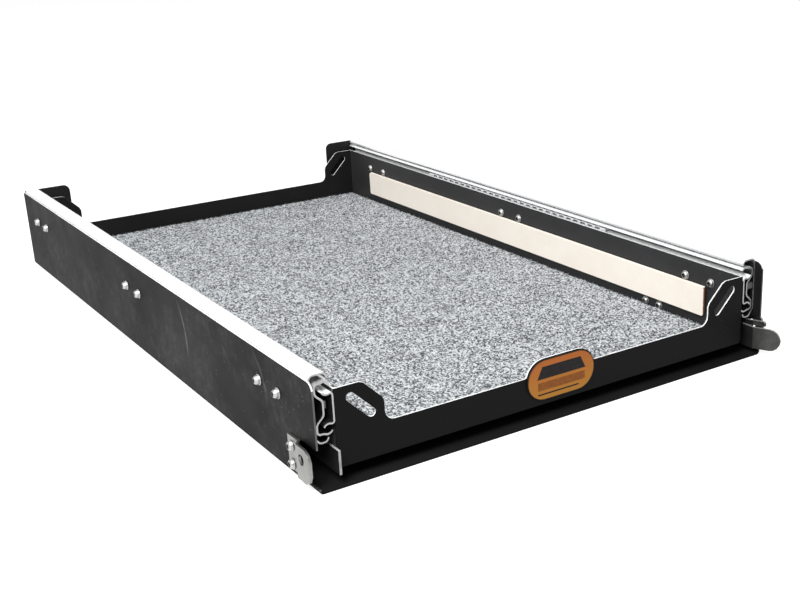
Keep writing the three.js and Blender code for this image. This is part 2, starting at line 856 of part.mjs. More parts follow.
function makeLatchBracket() {
  const wall = trayHalfWidth + gap;
  const plate = block(
    [wall, pivotY - hingePlateHalfLength, hingeHeight - hingeHalfHeight],
    [wall + hingePlateThickness, pivotY + hingePlateHalfLength, hingeHeight + hingeHalfHeight],
  );
  const ears = [-1, 1].map((up) => {
    const outer = hingeHeight + up * hingeHalfHeight;
    const inner = outer - up * hingeEarThickness;
    const end = pivotAcross;
    const outline = [
      [wall, pivotY - pivotBarrelRadius],
      ...arc([end, pivotY], pivotBarrelRadius, -90, 90, roundSteps),
      [wall, pivotY + pivotBarrelRadius],
    ];
    return alongZ(outline, Math.min(outer, inner), Math.max(outer, inner));
  });
  const plateFar = wall + hingePlateThickness + gap;
  const tools = hingePlaces.map(({ y, z }) => (
    barAlongX(screwRadius + holeClearance, trayHalfWidth - cutOverrun, plateFar, y, z)
  ));
  tools.push(barAlongZ(
    pivotPinRadius + runningGap,
    hingeHeight - hingeHalfHeight - cutOverrun,
    hingeHeight + hingeHalfHeight + cutOverrun,
    pivotAcross,
    pivotY,
  ));
  place('latch_bracket', cut(join([plate, ...ears]), tools), 'zinc');
  screwSet('latch_bracket_screws', hingePlaces, trayWallInner - gap, 1, plateFar);
}

function makePivotPin() {
  const top = hingeHeight + hingeHalfHeight + gap;
  const bottom = hingeHeight - hingeHalfHeight - gap;
  const pieces = [
    barAlongZ(pivotPinRadius, bottom - pivotPinHeadHeight, top + pivotPinHeadHeight, pivotAcross, pivotY),
    barAlongZ(pivotPinHeadRadius, top, top + pivotPinHeadHeight, pivotAcross, pivotY),
    barAlongZ(pivotPinHeadRadius, bottom - pivotPinHeadHeight, bottom, pivotAcross, pivotY),
  ];
  place('pivot_pin', join(pieces), 'zinc');
}

function makeLever() {
  const bendY = frontFace + paddleBendInset;
  const angle = THREE.MathUtils.degToRad(paddleAngleDegrees);
  const paddleEnd = [
    leverMiddle + paddleLength * Math.sin(angle),
    bendY - paddleLength * Math.cos(angle),
  ];
  const paddle = alongZ(stripOutline([
    [leverMiddle, bendY + leverSlitDepth],
    [leverMiddle, bendY],
    paddleEnd,
  ], leverSheet), paddleBottom, leverFingerBottom - leverSlitHeight);
  const round = (leverFingerBottom - leverSlitHeight - paddleBottom) / 2;
  const middleHeight = paddleBottom + round;
  const tipCentre = -(paddleLength - round);
  const clip = new THREE.ExtrudeGeometry(polygon([
    [leverSlitDepth + cutOverrun, -round - cutOverrun],
    [leverSlitDepth + cutOverrun, round + cutOverrun],
    [tipCentre, round + cutOverrun],
    ...arc([tipCentre, 0], round, 90, 270, paddleSteps),
    [tipCentre, -round - cutOverrun],
  ]), { depth: 2 * paddleLength, bevelEnabled: false });
  clip.translate(0, 0, -paddleLength);
  clip.rotateY(Math.PI / 2);
  clip.rotateX(Math.PI / 2);
  clip.rotateZ(angle);
  clip.translate(leverMiddle, bendY, middleHeight);
  const rounded = toGeometry(toSolid(paddle).intersect(toSolid(clip)));
  const armEnd = pivotY;
  const arm = alongX([
    [armEnd, leverWaistBottom],
    [armEnd, leverWaistTop],
    [frontFace + notchDepth, leverWaistTop],
    [frontFace + notchDepth - leverSheet, leverTop],
    [slideFront - leverSheet, leverTop],
    [frontFace - leverFingerReach + leverFingerBevel, leverTop + leverFingerRise],
    [frontFace - leverFingerReach, leverTop + leverFingerRise - leverFingerBevel],
    [frontFace - leverFingerReach, leverFingerBottom + leverFingerRise],
    [slideFront - leverSheet, leverFingerBottom],
    [bendY + leverSlitDepth, leverFingerBottom],
    [bendY + leverSlitDepth, paddleBottom],
    [frontFace + notchDepth, leverWaistBottom],
  ], leverInner, leverInner + leverSheet);
  const earRoom = hingeHalfHeight - hingeEarThickness - gap;
  const barrelEnds = [hingeHeight - earRoom, hingeHeight + earRoom];
  const barrel = barAlongZ(pivotBarrelRadius, ...barrelEnds, pivotAcross, pivotY);
  const bore = barAlongZ(
    pivotPinRadius + runningGap,
    hingeHeight - hingeHalfHeight - cutOverrun,
    hingeHeight + hingeHalfHeight + cutOverrun,
    pivotAcross,
    pivotY,
  );
  const springRoomTop = hingeHeight + earRoom + cutOverrun;
  const springRoomRadius = springRadius + springWireRadius + gap;
  const springRoom = barAlongZ(springRoomRadius, hingeHeight, springRoomTop, pivotAcross, pivotY);
  const keeperFace = halfWidth + gap + keeperStep;
  const pinTip = keeperFace - lockPinClearance;
  const pinY = frontFace + keeperHoleInset;
  const lockPin = barAlongX(lockPinRadius, leverMiddle, pinTip, pinY, keeperHoleHeight);
  const lever = cut(join([arm, rounded, barrel, lockPin]), [bore, springRoom]);
  place('latch_lever', lever, 'steel');
}

// A torsion spring of round wire, wound about the pivot pin
class CoilCurve extends THREE.Curve {
  getPoint(share, target = new THREE.Vector3()) {
    const angle = 2 * Math.PI * springTurns * share - Math.PI / 2;
    const pitch = 2 * springWireRadius + gap;
    return target.set(
      pivotAcross + springRadius * Math.cos(angle),
      pivotY + springRadius * Math.sin(angle),
      hingeHeight + springWireRadius + gap + pitch * springTurns * share,
    );
  }
}

function makeSpring() {
  const wire = arc([0, 0], springWireRadius, 0, wireEndDegrees, wireSteps);
  const coil = new THREE.ExtrudeGeometry(polygon(wire), {
    steps: coilSteps * springTurns,
    extrudePath: new CoilCurve(),
    bevelEnabled: false,
  });
  place('latch_spring', toGeometry(toSolid(coil)), 'zinc');
}

// The guide plate on the tray's left wall fills the same gap under the slide
function makeGuidePlate() {
  const wall = -(trayHalfWidth + gap);
  const front = frontFace;
  const outline = [
    [front, guidePlateBottom],
    [front + guidePlateLength, guidePlateBottom],
    [front + guidePlateLength, guidePlateTop - guidePlateChamfer],
    [front + guidePlateLength - guidePlateChamfer, guidePlateTop],
    [front, guidePlateTop],
  ];
  const plate = alongX(outline, wall - guidePlateThickness, wall);
  const tools = hingePlaces.map(({ y, z }) => (
    barAlongX(screwRadius + holeClearance, wall - cutOverrun, wall + cutOverrun, y, z)
  ));
  place('guide_plate', cut(plate, tools), 'powderCoat');
  const strip = wall - guidePlateThickness - gap;
  screwSet('guide_plate_screws', hingePlaces, -(trayWallInner - gap), -1, strip);
}

function makeBumpers() {
  for (const { name: side, sign } of sides) {
    const web = plateInner - middleCentreAcross;
    const inside = [web - slideSheet / 2 - gap - bumperThickness, web - slideSheet / 2 - gap];
    const outerFace = plateInner - outerWebAcross - slideSheet / 2;
    const outside = [web + slideSheet / 2 + gap, outerFace - runningGap];
    const [low, high] = side === 'left' ? inside.map((x) => -x).reverse() : outside;
    const start = slideFront - middleLead + bumperInset;
    const bottom = slideCentreHeight + bumperRise - bumperHeight / 2;
    place(`stop_bumper_${side}`, block(
      [low, start, bottom],
      [high, start + bumperLength, bottom + bumperHeight],
    ), 'rubber');
    const profile = [
      [0, gap],
      [rearBufferRadius, gap],
      [rearBufferRadius - gap, gap + rearBufferLength],
      [0, gap + rearBufferLength],
    ].map(([radius, along]) => new THREE.Vector2(radius, along));
    const pad = new THREE.LatheGeometry(profile, screwSides);
    const stemLength = baseSheet + 2 * gap;
    const stem = new THREE.CylinderGeometry(rearBufferStud, rearBufferStud, stemLength, screwSides);
    stem.translate(0, -(baseSheet / 2) + gap, 0);
    const buffer = join([pad, stem]);
    buffer.rotateZ(Math.PI);
    buffer.translate(sign * (trayHalfWidth - rearBufferInset), rearFace - baseSheet, rearBufferHeight);
    place(`rear_buffer_${side}`, buffer, 'rubber');
  }
}

makeBasePan();
makeRearPanel();
makeSlideMembers();
makeCages();
makeTrayPan();
makeTrayWalls();
makeCarpet();
makeBoard();
makeBadge();
makeScrews();
makeKeepers();
makeLatchBracket();
makePivotPin();
makeLever();
makeSpring();
makeGuidePlate();
makeBumpers();

export default group;
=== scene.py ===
import math

import bmesh
import bpy
import numpy as np
from mathutils import Matrix, Vector


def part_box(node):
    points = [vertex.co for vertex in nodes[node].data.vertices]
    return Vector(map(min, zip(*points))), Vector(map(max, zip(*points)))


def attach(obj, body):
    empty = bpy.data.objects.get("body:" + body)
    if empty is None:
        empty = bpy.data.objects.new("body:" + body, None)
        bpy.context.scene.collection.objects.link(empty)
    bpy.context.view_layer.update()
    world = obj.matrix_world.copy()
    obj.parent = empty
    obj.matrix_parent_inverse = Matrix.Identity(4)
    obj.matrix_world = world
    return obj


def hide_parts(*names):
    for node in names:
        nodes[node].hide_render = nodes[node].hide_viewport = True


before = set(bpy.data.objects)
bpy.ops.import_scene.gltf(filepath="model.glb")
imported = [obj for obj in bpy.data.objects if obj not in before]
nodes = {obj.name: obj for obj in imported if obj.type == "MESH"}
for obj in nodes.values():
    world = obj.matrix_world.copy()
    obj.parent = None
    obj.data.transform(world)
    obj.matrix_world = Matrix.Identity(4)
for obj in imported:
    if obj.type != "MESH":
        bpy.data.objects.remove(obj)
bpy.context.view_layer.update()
MM = 0.001
SIDES = (("left", -1), ("right", 1))
LEVELS = (("top", 1), ("bottom", -1))
PAIRS = ("front", "middle", "rear")


def corners(node):
    """The low and high corner of a CAD node in millimetres."""
    return (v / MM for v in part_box(node))


def placed(name, data):
    """A new object in the scene's collection."""
    obj = bpy.data.objects.new(name, data)
    bpy.context.scene.collection.objects.link(obj)
    return obj


# ------ camera
# Place in millimetres, turn as a rotation vector and focal length, fitted to the photograph.
CAMERA_PLACE = (-777.2, -1510.6, 573.3)
CAMERA_TURN = (1.84935, -0.59175, 0.37043)
FOCAL_PIXELS = 1224.26
IMAGE_WIDTH = 800
SENSOR = 36.0
LENS_SHIFT = (-0.1, 0.0375)
FAR_CLIP = 50

camera_data = bpy.data.cameras.new("camera")
camera_data.sensor_width = SENSOR
camera_data.lens = FOCAL_PIXELS / IMAGE_WIDTH * SENSOR
camera_data.shift_x, camera_data.shift_y = LENS_SHIFT
camera_data.clip_end = FAR_CLIP
camera = placed("camera", camera_data)
turn = Vector(CAMERA_TURN)
world_to_lens = Matrix.Rotation(turn.length, 3, turn.normalized())
lens_axes = world_to_lens.transposed() @ Matrix.Diagonal((1, -1, -1))
camera.matrix_world = Matrix.Translation(Vector(CAMERA_PLACE) * MM) @ lens_axes.to_4x4()
bpy.context.scene.camera = camera


# ------ material helpers
ARC_FADE_IN, ARC_FADE_OUT = 0.015, 0.025
FACES_UP = 0.25


class Finish:
    """A node material under construction. Its coordinates and lengths are in metres."""

    SOCKETS = {
        "color": "Base Color",
        "roughness": "Roughness",
        "metallic": "Metallic",
        "specular": "Specular IOR Level",
        "sheen": "Sheen Weight",
        "sheen_roughness": "Sheen Roughness",
        "normal": "Normal",
    }

    def __init__(self, name):
        self.material = bpy.data.materials.new(name)
        self.material.use_nodes = True
        self.tree = self.material.node_tree
        self.shader = self.tree.nodes["Principled BSDF"]
        self.place = self.add("TexCoord").outputs["Object"]
        self.normal = self.add("NewGeometry").outputs["Normal"]

    def add(self, kind, **settings):
        node = self.tree.nodes.new("ShaderNode" + kind)
        for key, value in settings.items():
            setattr(node, key, value)
        return node

    def feed(self, socket, value):
        if isinstance(value, bpy.types.NodeSocket):
            self.tree.links.new(value, socket)
        elif isinstance(value, tuple) and socket.type == "RGBA":
            socket.default_value = (*value, 1)
        else:
            socket.default_value = value

    def set(self, **values):
        for key, value in values.items():
            self.feed(self.shader.inputs[self.SOCKETS[key]], value)

    def worked_out(self, node, *values):
        """Feeds a node's inputs in their order and gives its result."""
        for socket, value in zip(node.inputs, values):
            self.feed(socket, value)
        return node.outputs[0]

    def math(self, operation, a, b=0.0):
        return self.worked_out(self.add("Math", operation=operation), a, b)

    def plus(self, a, b):
        return self.math("ADD", a, b)

    def minus(self, a, b):
        return self.math("SUBTRACT", a, b)

    def times(self, a, b):
        return self.math("MULTIPLY", a, b)

    def over(self, value, limit):
        return self.math("GREATER_THAN", value, limit)

    def under(self, value, limit):
        return self.math("LESS_THAN", value, limit)

    def size(self, value):
        return self.math("ABSOLUTE", value)

    def mapped(self, stretch):
        """The object's coordinates, times three factors where they are given."""
        if not stretch:
            return self.place
        node = self.add("Mapping")
        self.feed(node.inputs["Vector"], self.place)
        node.inputs["Scale"].default_value = stretch
        return node.outputs["Vector"]

    def noise(self, scale, detail=2.0, rough=0.5, stretch=None, distort=0.0):
        node = self.add("TexNoise")
        self.feed(node.inputs["Vector"], self.mapped(stretch))
        node.inputs["Scale"].default_value = scale
        node.inputs["Detail"].default_value = detail
        node.inputs["Roughness"].default_value = rough
        node.inputs["Distortion"].default_value = distort
        return node.outputs["Fac"]

    def cells(self, scale, stretch=None):
        node = self.add("TexVoronoi", feature="F1")
        self.feed(node.inputs["Vector"], self.mapped(stretch))
        node.inputs["Scale"].default_value = scale
        return node.outputs

    def ramp(self, value, low, high, to_low=0.0, to_high=1.0):
        node = self.add("MapRange", clamp=True)
        return self.worked_out(node, value, low, high, to_low, to_high)

    def mix(self, share, a, b):
        node = self.add("Mix", data_type="RGBA")
        self.feed(node.inputs[0], share)
        self.feed(node.inputs[6], a)
        self.feed(node.inputs[7], b)
        return node.outputs[2]

    def bump(self, height, strength, distance, below=None):
        node = self.add("Bump")
        self.feed(node.inputs["Height"], height)
        node.inputs["Strength"].default_value = strength
        node.inputs["Distance"].default_value = distance
        if below is not None:
            self.feed(node.inputs["Normal"], below)
        return node.outputs["Normal"]

    def component(self, vector, axis):
        node = self.add("SeparateXYZ")
        self.feed(node.inputs[0], vector)
        return node.outputs["XYZ".index(axis)]

    def coordinate(self, axis):
        return self.component(self.place, axis)

    def facing(self, axis):
        """How far the surface faces along an axis of the frame, either way, 0 to 1."""
        return self.size(self.component(self.normal, axis))

    def upward(self):
        """1 where the surface faces up."""
        return self.over(self.component(self.normal, "Z"), FACES_UP)

    def arc_mark(self, centre, radius, low, high, width):
        """The front half of a thin circle in the YZ plane, faded out at two heights."""
        across = self.minus(self.coordinate("Y"), centre[0])
        rise = self.minus(self.coordinate("Z"), centre[1])
        squares = self.plus(self.times(across, across), self.times(rise, rise))
        distance = self.size(self.minus(self.math("SQRT", squares), radius))
        near = self.ramp(distance, 0.0, width, 1.0, 0.0)
        front = self.under(across, 0.0)
        height = self.coordinate("Z")
        foot = self.ramp(height, low, low + ARC_FADE_IN)
        head = self.ramp(height, high - ARC_FADE_OUT, high, 1.0, 0.0)
        return self.times(self.times(near, front), self.times(foot, head))


def grey(value, blue=1.0):
    return (value, value, value * blue)


# ------ painted sheet
# The outside of the side plates starts at this |X| and carries scuffed arcs, each with its
# centre (Y, Z), radius, lowest and highest point, width and strength.
OUTSIDE_FACE = 0.3095
SCUFF_ARCS = (
    ((-0.090, 0.060), 0.085, 0.045, 0.115, 0.0035, 1.0),
    ((-0.330, 0.060), 0.070, 0.060, 0.120, 0.0045, 0.45),
)
# The plates begin to shine between these heights, and above the third their upward edges
# carry a painted highlight.
PLATE_FOOT = (0.003, 0.006)
RIM_START = 0.1
# The upright edges of the tray's end walls carry the pale painted highlight within this |X|.
WALL_SPAN = 0.275
# A face that looks along the sheet's axis by less than this share is a cut edge.
CUT_EDGE = 0.55
# WHITE_EDGE, like the pale edge colours of the coats below, is a painted highlight on cut edges.
WHITE_EDGE = (0.90, 0.91, 0.92)


def worn_coat(f, spread, shade, scuffs):
    """The coat outside the side plates: smears, dust, two arcs and small bare spots."""
    coat = f.mix(spread, grey(shade * 0.8), grey(shade * 1.2, 1.06))
    smear = f.noise(13, 6, 0.7, stretch=(1, 0.8, 1.0))
    dust = f.noise(85, 5, 0.75)
    marks = f.times(f.ramp(smear, 0.46, 0.74), f.ramp(dust, 0.3, 0.75))
    coat = f.mix(f.times(marks, scuffs), coat, grey(0.085, 1.04))
    first, second = (f.times(f.arc_mark(*arc), strength) for *arc, strength in SCUFF_ARCS)
    arcs = f.times(f.plus(first, second), f.ramp(dust, 0.2, 0.65))
    coat = f.mix(f.times(arcs, scuffs * 0.8), coat, grey(0.24))
    spot = f.ramp(f.cells(90)["Distance"], 0.03, 0.09, 1.0, 0.0)
    return f.mix(f.times(spot, scuffs * 0.6), coat, grey(0.26, 1.03))


def powder_coat(
    name, shade, sheet_axis, edge, specular, gloss=0.5, edge_floor=None, edge_span=None, worn=None
):
    """Satin black powder coat with a fine orange peel; the cut edges of the sheet carry a painted
    pale highlight.

    The painted highlight shows above the height edge_floor, and where the edges face the sides
    only within |X| of edge_span. worn is the shade of the outside and the strength of its scuffs."""
    f = Finish(name)
    patch = f.noise(9, 3, 0.55)
    spread = f.ramp(patch, 0.3, 0.7)
    color = f.mix(spread, grey(shade * 0.82), grey(shade * 1.18, 1.05))
    rough = f.ramp(patch, 0.3, 0.7, gloss - 0.05, gloss + 0.07)
    if worn:
        outside = f.over(f.size(f.coordinate("X")), OUTSIDE_FACE)
        color = f.mix(outside, color, worn_coat(f, spread, *worn))
        rough = f.plus(f.times(outside, 0.2), f.minus(rough, 0.15))
        specular = f.times(f.ramp(f.coordinate("Z"), *PLATE_FOOT), specular)
        # Upward edges of the plates: painted highlight above RIM_START, painted near-black below it.
        rim = f.over(f.coordinate("Z"), RIM_START)
        edge = f.mix(f.upward(), edge, f.mix(rim, grey(0.02), grey(0.86)))
    off_sheet = f.under(f.facing(sheet_axis), CUT_EDGE)
    if edge_span is not None:
        between = f.under(f.size(f.coordinate("X")), edge_span)
        off_sheet = f.times(off_sheet, f.math("MAXIMUM", f.upward(), between))
    if edge_floor is not None:
        off_sheet = f.times(off_sheet, f.over(f.coordinate("Z"), edge_floor))
    # The cut edges take the edge colour, a painted highlight that is patchy along them.
    grain = f.ramp(f.noise(160, 3, 0.6), 0.3, 0.75, 0.7, 1.1)
    edge_highlight = f.times(off_sheet, f.math("MINIMUM", grain, 1.0))
    color = f.mix(edge_highlight, color, edge)
    rough = f.math("MAXIMUM", rough, f.times(edge_highlight, 0.55))
    f.set(color=color, roughness=rough, specular=specular)
    peel = f.bump(f.noise(900, 2, 0.6), 0.1, 0.0002)
    f.set(normal=f.bump(f.noise(420, 2, 0.5), 0.16, 0.0004, peel))
    return f.material


# ------ other materials
# Noise squeezed along the rolling direction draws lines that run along it.
ROLLED = 0.02
STREAKS = {"X": (ROLLED, 1, 1), "Y": (1, ROLLED, 1), "Z": (1, 1, ROLLED)}
# Behind this Y the latch lever is darkened: painted shade where the tray and slide shade it.
# The board's core is this share of it.
LEVER_BEND = -0.508
CORE_SHARE = 0.55


def zinc(name, shade, rough, streak_axis="Y", blotch=0.06, metallic=1.0):
    """Bright zinc plate: faint rolling lines along the strip and a slightly cloudy surface."""
    f = Finish(name)
    lines = f.noise(700, 2, 0.6, stretch=STREAKS[streak_axis])
    cloud = f.noise(16, 4, 0.6)
    clouds = f.times(f.minus(cloud, 0.5), blotch * 2)
    tone = f.plus(clouds, f.times(f.minus(lines, 0.5), blotch))
    low = tuple(max(0, c - 0.1) for c in shade)
    high = tuple(min(1, c + 0.06) for c in shade)
    color = f.mix(f.ramp(tone, -0.08, 0.08), low, high)
    rough = f.ramp(cloud, 0.3, 0.7, rough - 0.05, rough + 0.08)
    f.set(color=color, metallic=metallic, roughness=rough)
    f.set(normal=f.bump(lines, 0.12, 0.0002))
    return f.material


def plain_steel():
    """Dull grey spring steel with a rolled grain; behind the paddle's bend it is painted near-black
    as shade, and faces that look up carry a painted highlight.
    """
    f = Finish("lever_steel")
    smudge = f.noise(34, 4, 0.6, distort=0.4)
    grain = f.noise(900, 2, 0.6, stretch=(1, 0.05, 1))
    tone = f.plus(f.times(smudge, 0.75), f.times(grain, 0.25))
    color = f.mix(f.ramp(tone, 0.32, 0.66), (0.042, 0.042, 0.040), (0.098, 0.098, 0.094))
    # Painted shade: behind the bend the lever is darkened where the tray shades it.
    shank = f.over(f.coordinate("Y"), LEVER_BEND)
    color = f.mix(shank, color, f.mix(smudge, (0.015, 0.015, 0.015), (0.04, 0.04, 0.04)))
    # Painted highlight on the faces that look up.
    color = f.mix(f.upward(), color, (0.40, 0.40, 0.39))
    f.set(color=color, metallic=0.7, roughness=f.ramp(smudge, 0.3, 0.7, 0.42, 0.58))
    f.set(normal=f.bump(grain, 0.2, 0.0002))
    return f.material


def carpet_finish():
    """Marled needle-punched pile: light and dark grey fibres mixed tuft by tuft."""
    f = Finish("carpet_fibre")
    tuft = f.cells(540, stretch=(1, 0.8, 1))["Color"]
    pick = f.add("SeparateColor")
    f.feed(pick.inputs[0], tuft)
    strand = f.noise(700, 2, 0.7, distort=0.8)
    broad = f.noise(26, 4, 0.6)
    mixed = f.plus(f.times(pick.outputs[0], 0.55), f.times(strand, 0.5))
    mixed = f.plus(mixed, f.times(f.minus(broad, 0.5), 0.22))
    color = f.mix(f.ramp(mixed, 0.39, 0.70), (0.028, 0.030, 0.035), (0.57, 0.60, 0.62))
    f.set(color=color, roughness=0.95, specular=0.1, sheen=0.25, sheen_roughness=0.6)
    f.set(normal=f.bump(strand, 0.5, 0.0006))
    return f.material


def board_finish():
    """Cream faced fibreboard, slightly mottled; its ends show a brown core, dark towards +X."""
    low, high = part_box("side_board")
    middle = low.x * (1 - CORE_SHARE) + high.x * CORE_SHARE
    f = Finish("board_face")
    mottle = f.noise(30, 5, 0.65)
    nick = f.ramp(f.cells(55)["Distance"], 0.02, 0.06, 1.0, 0.0)
    face = f.mix(f.ramp(mottle, 0.3, 0.7), (0.95, 0.87, 0.77), (0.98, 0.92, 0.83))
    face = f.mix(f.times(nick, 0.25), face, (0.62, 0.52, 0.43))
    fibre = f.noise(500, 4, 0.7, stretch=(1, 1, 0.3))
    core = f.mix(f.ramp(fibre, 0.3, 0.7), (0.20, 0.065, 0.03), (0.42, 0.17, 0.08))
    at_end = f.over(f.facing("Y"), 0.6)
    toward_plus_x = f.over(f.coordinate("X"), middle)
    end = f.mix(toward_plus_x, core, (0.03, 0.02, 0.016))
    f.set(color=f.mix(at_end, face, end), roughness=0.55, specular=0.35)
    f.set(normal=f.bump(f.noise(240, 3, 0.6), 0.08, 0.0003))
    return f.material


def foam_tape():
    f = Finish("foam_tape")
    pore = f.cells(900)["Distance"]
    color = f.mix(f.ramp(pore, 0.1, 0.6), grey(0.012), grey(0.05))
    f.set(color=color, roughness=0.9, specular=0.15)
    f.set(normal=f.bump(pore, 0.5, 0.0004))
    return f.material


def moulded(name, cloud, limits, tones, rough, specular, grain, relief):
    """Rubber or plastic, faintly cloudy, with the fine grain of its mould."""
    f = Finish(name)
    color = f.mix(f.ramp(f.noise(*cloud), *limits), *tones)
    f.set(color=color, roughness=rough, specular=specular)
    f.set(normal=f.bump(f.noise(*grain), relief, 0.0003))
    return f.material


def badge_finish():
    """Gold fading to orange above, with a fine satin print grain."""
    low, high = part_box("badge")
    f = Finish("badge_face")
    rise = f.ramp(f.coordinate("Z"), low.z, high.z)
    grain = f.noise(260, 4, 0.65)
    color = f.mix(rise, (0.42, 0.185, 0.022), (0.40, 0.10, 0.022))
    color = f.mix(f.ramp(grain, 0.35, 0.75, 0.0, 0.3), color, (0.42, 0.20, 0.04))
    f.set(color=color, roughness=0.5, specular=0.2)
    f.set(normal=f.bump(grain, 0.08, 0.0002))
    return f.material


def badge_ink(name, dark, light):
    f = Finish(name)
    grain = f.noise(300, 3, 0.6)
    f.set(color=f.mix(f.ramp(grain, 0.3, 0.7), dark, light), roughness=0.5, specular=0.12)
    f.set(normal=f.bump(grain, 0.1, 0.0002))
    return f.material


finishes = {
    # The pan's coat is painted lighter inside than outside: painted fill light for the shade on the
    # floor under the tray.
    "side_plates": powder_coat(
        "side_plate_coat", 0.013, "X", (0.15, 0.15, 0.153), 0.07, edge_floor=0.004, worn=(0.006, 0.8)
    ),
    "rear_panel": powder_coat(
        "rear_panel_coat", 0.012, "Y", (0.10, 0.10, 0.102), 0.15, edge_floor=0.01
    ),
    "trough": powder_coat("trough_coat", 0.03, "X", (0.80, 0.81, 0.82), 0.2, edge_floor=0.09),
    "walls": powder_coat(
        "wall_coat", 0.005, "Y", WHITE_EDGE, 0.07, gloss=0.55, edge_span=WALL_SPAN
    ),
    # The rear wall has the walls' coat painted lighter: painted fill for the lamp light that fades
    # towards the rear.
    "rear_wall": powder_coat("rear_wall_coat_painted_lighter", 0.010, "Y", WHITE_EDGE, 0.12, edge_span=WALL_SPAN),
    # Painted shade: the guide plate, a zinc plate in shade, is drawn as near-black coat with paler
    # cut edges.
    "guide": powder_coat("guide_coat_painted_shade", 0.008, "X", (0.42, 0.42, 0.425), 0.15),
    "runner": zinc("runner_zinc", (0.95, 0.96, 0.97), 0.26, blotch=0.03, metallic=0.6),
    # Diffuse near-white for the inner member's raised faces: painted light in the shade under the
    # cap.
    "runner_painted_light": zinc(
        "runner_painted_light_zinc", (0.97, 0.98, 0.98), 0.4, blotch=0.03, metallic=0.05
    ),
    # The slides' zinc painted dark: painted shade on the low and inner faces.
    "runner_painted_shade": zinc("runner_painted_shade_zinc", (0.15, 0.15, 0.155), 0.42, blotch=0.08),
    # Grey for the duller cut ends, and painted half shade on raised faces that turn away.
    "runner_end_and_half_shade": zinc("runner_cut_end_and_half_shade", (0.40, 0.40, 0.405), 0.5, "Z", 0.1),
    "bracket": zinc("bracket_zinc", (0.30, 0.30, 0.292), 0.42, "Z", 0.2),
    "fastener": zinc("fastener_zinc", (0.48, 0.48, 0.475), 0.38, "X", 0.1),
    # Dark zinc in the screws' hex recesses: painted shade in the hollow.
    "socket": zinc("socket_recess_painted_shade", (0.09, 0.09, 0.09), 0.5, "X", 0.1),
    "retainer": zinc("retainer_steel", (0.88, 0.89, 0.90), 0.3, metallic=0.25),
    "ball": zinc("ball_steel", (0.30, 0.30, 0.31), 0.15, "Z", 0.03),
    "spring": zinc("spring_steel", (0.50, 0.50, 0.49), 0.3, "Z", 0.1),
    "lever": plain_steel(),
    "carpet": carpet_finish(),
    "board": board_finish(),
    "tape": foam_tape(),
    "rubber": moulded(
        "moulded_rubber", (80, 4, 0.6), (0.35, 0.7), ((0.02, 0.02, 0.021), (0.055, 0.055, 0.057)),
        0.75, 0.3, (700, 3, 0.6), 0.25,
    ),
    "nylon": moulded(
        "grey_nylon", (120, 3, 0.6), (0.3, 0.7), ((0.10, 0.105, 0.11), (0.17, 0.175, 0.18)),
        0.5, 0.4, (600, 2, 0.6), 0.15,
    ),
    "badge": badge_finish(),
    "badge_rim": badge_ink("badge_rim", (0.008, 0.006, 0.005), (0.020, 0.016, 0.013)),
    "badge_line": badge_ink("badge_line", (0.007, 0.006, 0.006), (0.016, 0.014, 0.014)),
    "badge_bar": badge_ink("badge_bar", (0.19, 0.062, 0.014), (0.27, 0.095, 0.022)),
}


# ------ shading of edges
SMOOTH_BELOW, BEVEL_ABOVE, FLAT_BELOW = (math.radians(angle) for angle in (38, 50, 0.5))
WELD_REACH = 1e-6


def smooth_nodes():
    """A modifier tree that drops stored normals and shades smooth below an angle."""
    tree = bpy.data.node_groups.new("smooth_by_angle", "GeometryNodeTree")
    for in_out in ("INPUT", "OUTPUT"):
        tree.interface.new_socket("Geometry", in_out=in_out, socket_type="NodeSocketGeometry")
    start = tree.nodes.new("NodeGroupInput")
    end = tree.nodes.new("NodeGroupOutput")
    drop = tree.nodes.new("GeometryNodeRemoveAttribute")
    drop.inputs["Name"].default_value = "custom_normal"
    faces = tree.nodes.new("GeometryNodeSetShadeSmooth")
    edges = tree.nodes.new("GeometryNodeSetShadeSmooth")
    edges.domain = "EDGE"
    angle = tree.nodes.new("GeometryNodeInputMeshEdgeAngle")
    small = tree.nodes.new("FunctionNodeCompare")
    small.operation = "LESS_THAN"
    small.inputs["B"].default_value = SMOOTH_BELOW
    link = tree.links.new
    link(start.outputs[0], drop.inputs["Geometry"])
    link(drop.outputs["Geometry"], faces.inputs["Geometry"])
    link(faces.outputs["Geometry"], edges.inputs["Geometry"])
    link(angle.outputs["Unsigned Angle"], small.inputs["A"])
    link(small.outputs["Result"], edges.inputs["Shade Smooth"])
    link(edges.outputs["Geometry"], end.inputs[0])
    return tree


SMOOTH = smooth_nodes()


def soften(obj, width, weld=False, segments=2):
    """Eases the edges by a bevel and shades the rest smooth; a CAD mesh is welded first."""
    if weld:
        joined = obj.modifiers.new("weld", "WELD")
        joined.merge_threshold = WELD_REACH
        flat = obj.modifiers.new("flat", "DECIMATE")
        flat.decimate_type = "DISSOLVE"
        flat.angle_limit = FLAT_BELOW
    if width:
        ease = obj.modifiers.new("ease", "BEVEL")
        ease.width = width
        ease.segments = segments
        ease.limit_method = "ANGLE"
        ease.angle_limit = BEVEL_ABOVE
        ease.use_clamp_overlap = True
    shade = obj.modifiers.new("shade", "NODES")
    shade.node_group = SMOOTH
    even = obj.modifiers.new("even", "WEIGHTED_NORMAL")
    even.keep_sharp = True
    even.weight = 100


# ------ mesh helpers
FILLET_STEPS = 5
FILLET_SHARE = 0.45
LEAST_BEND = math.radians(14)


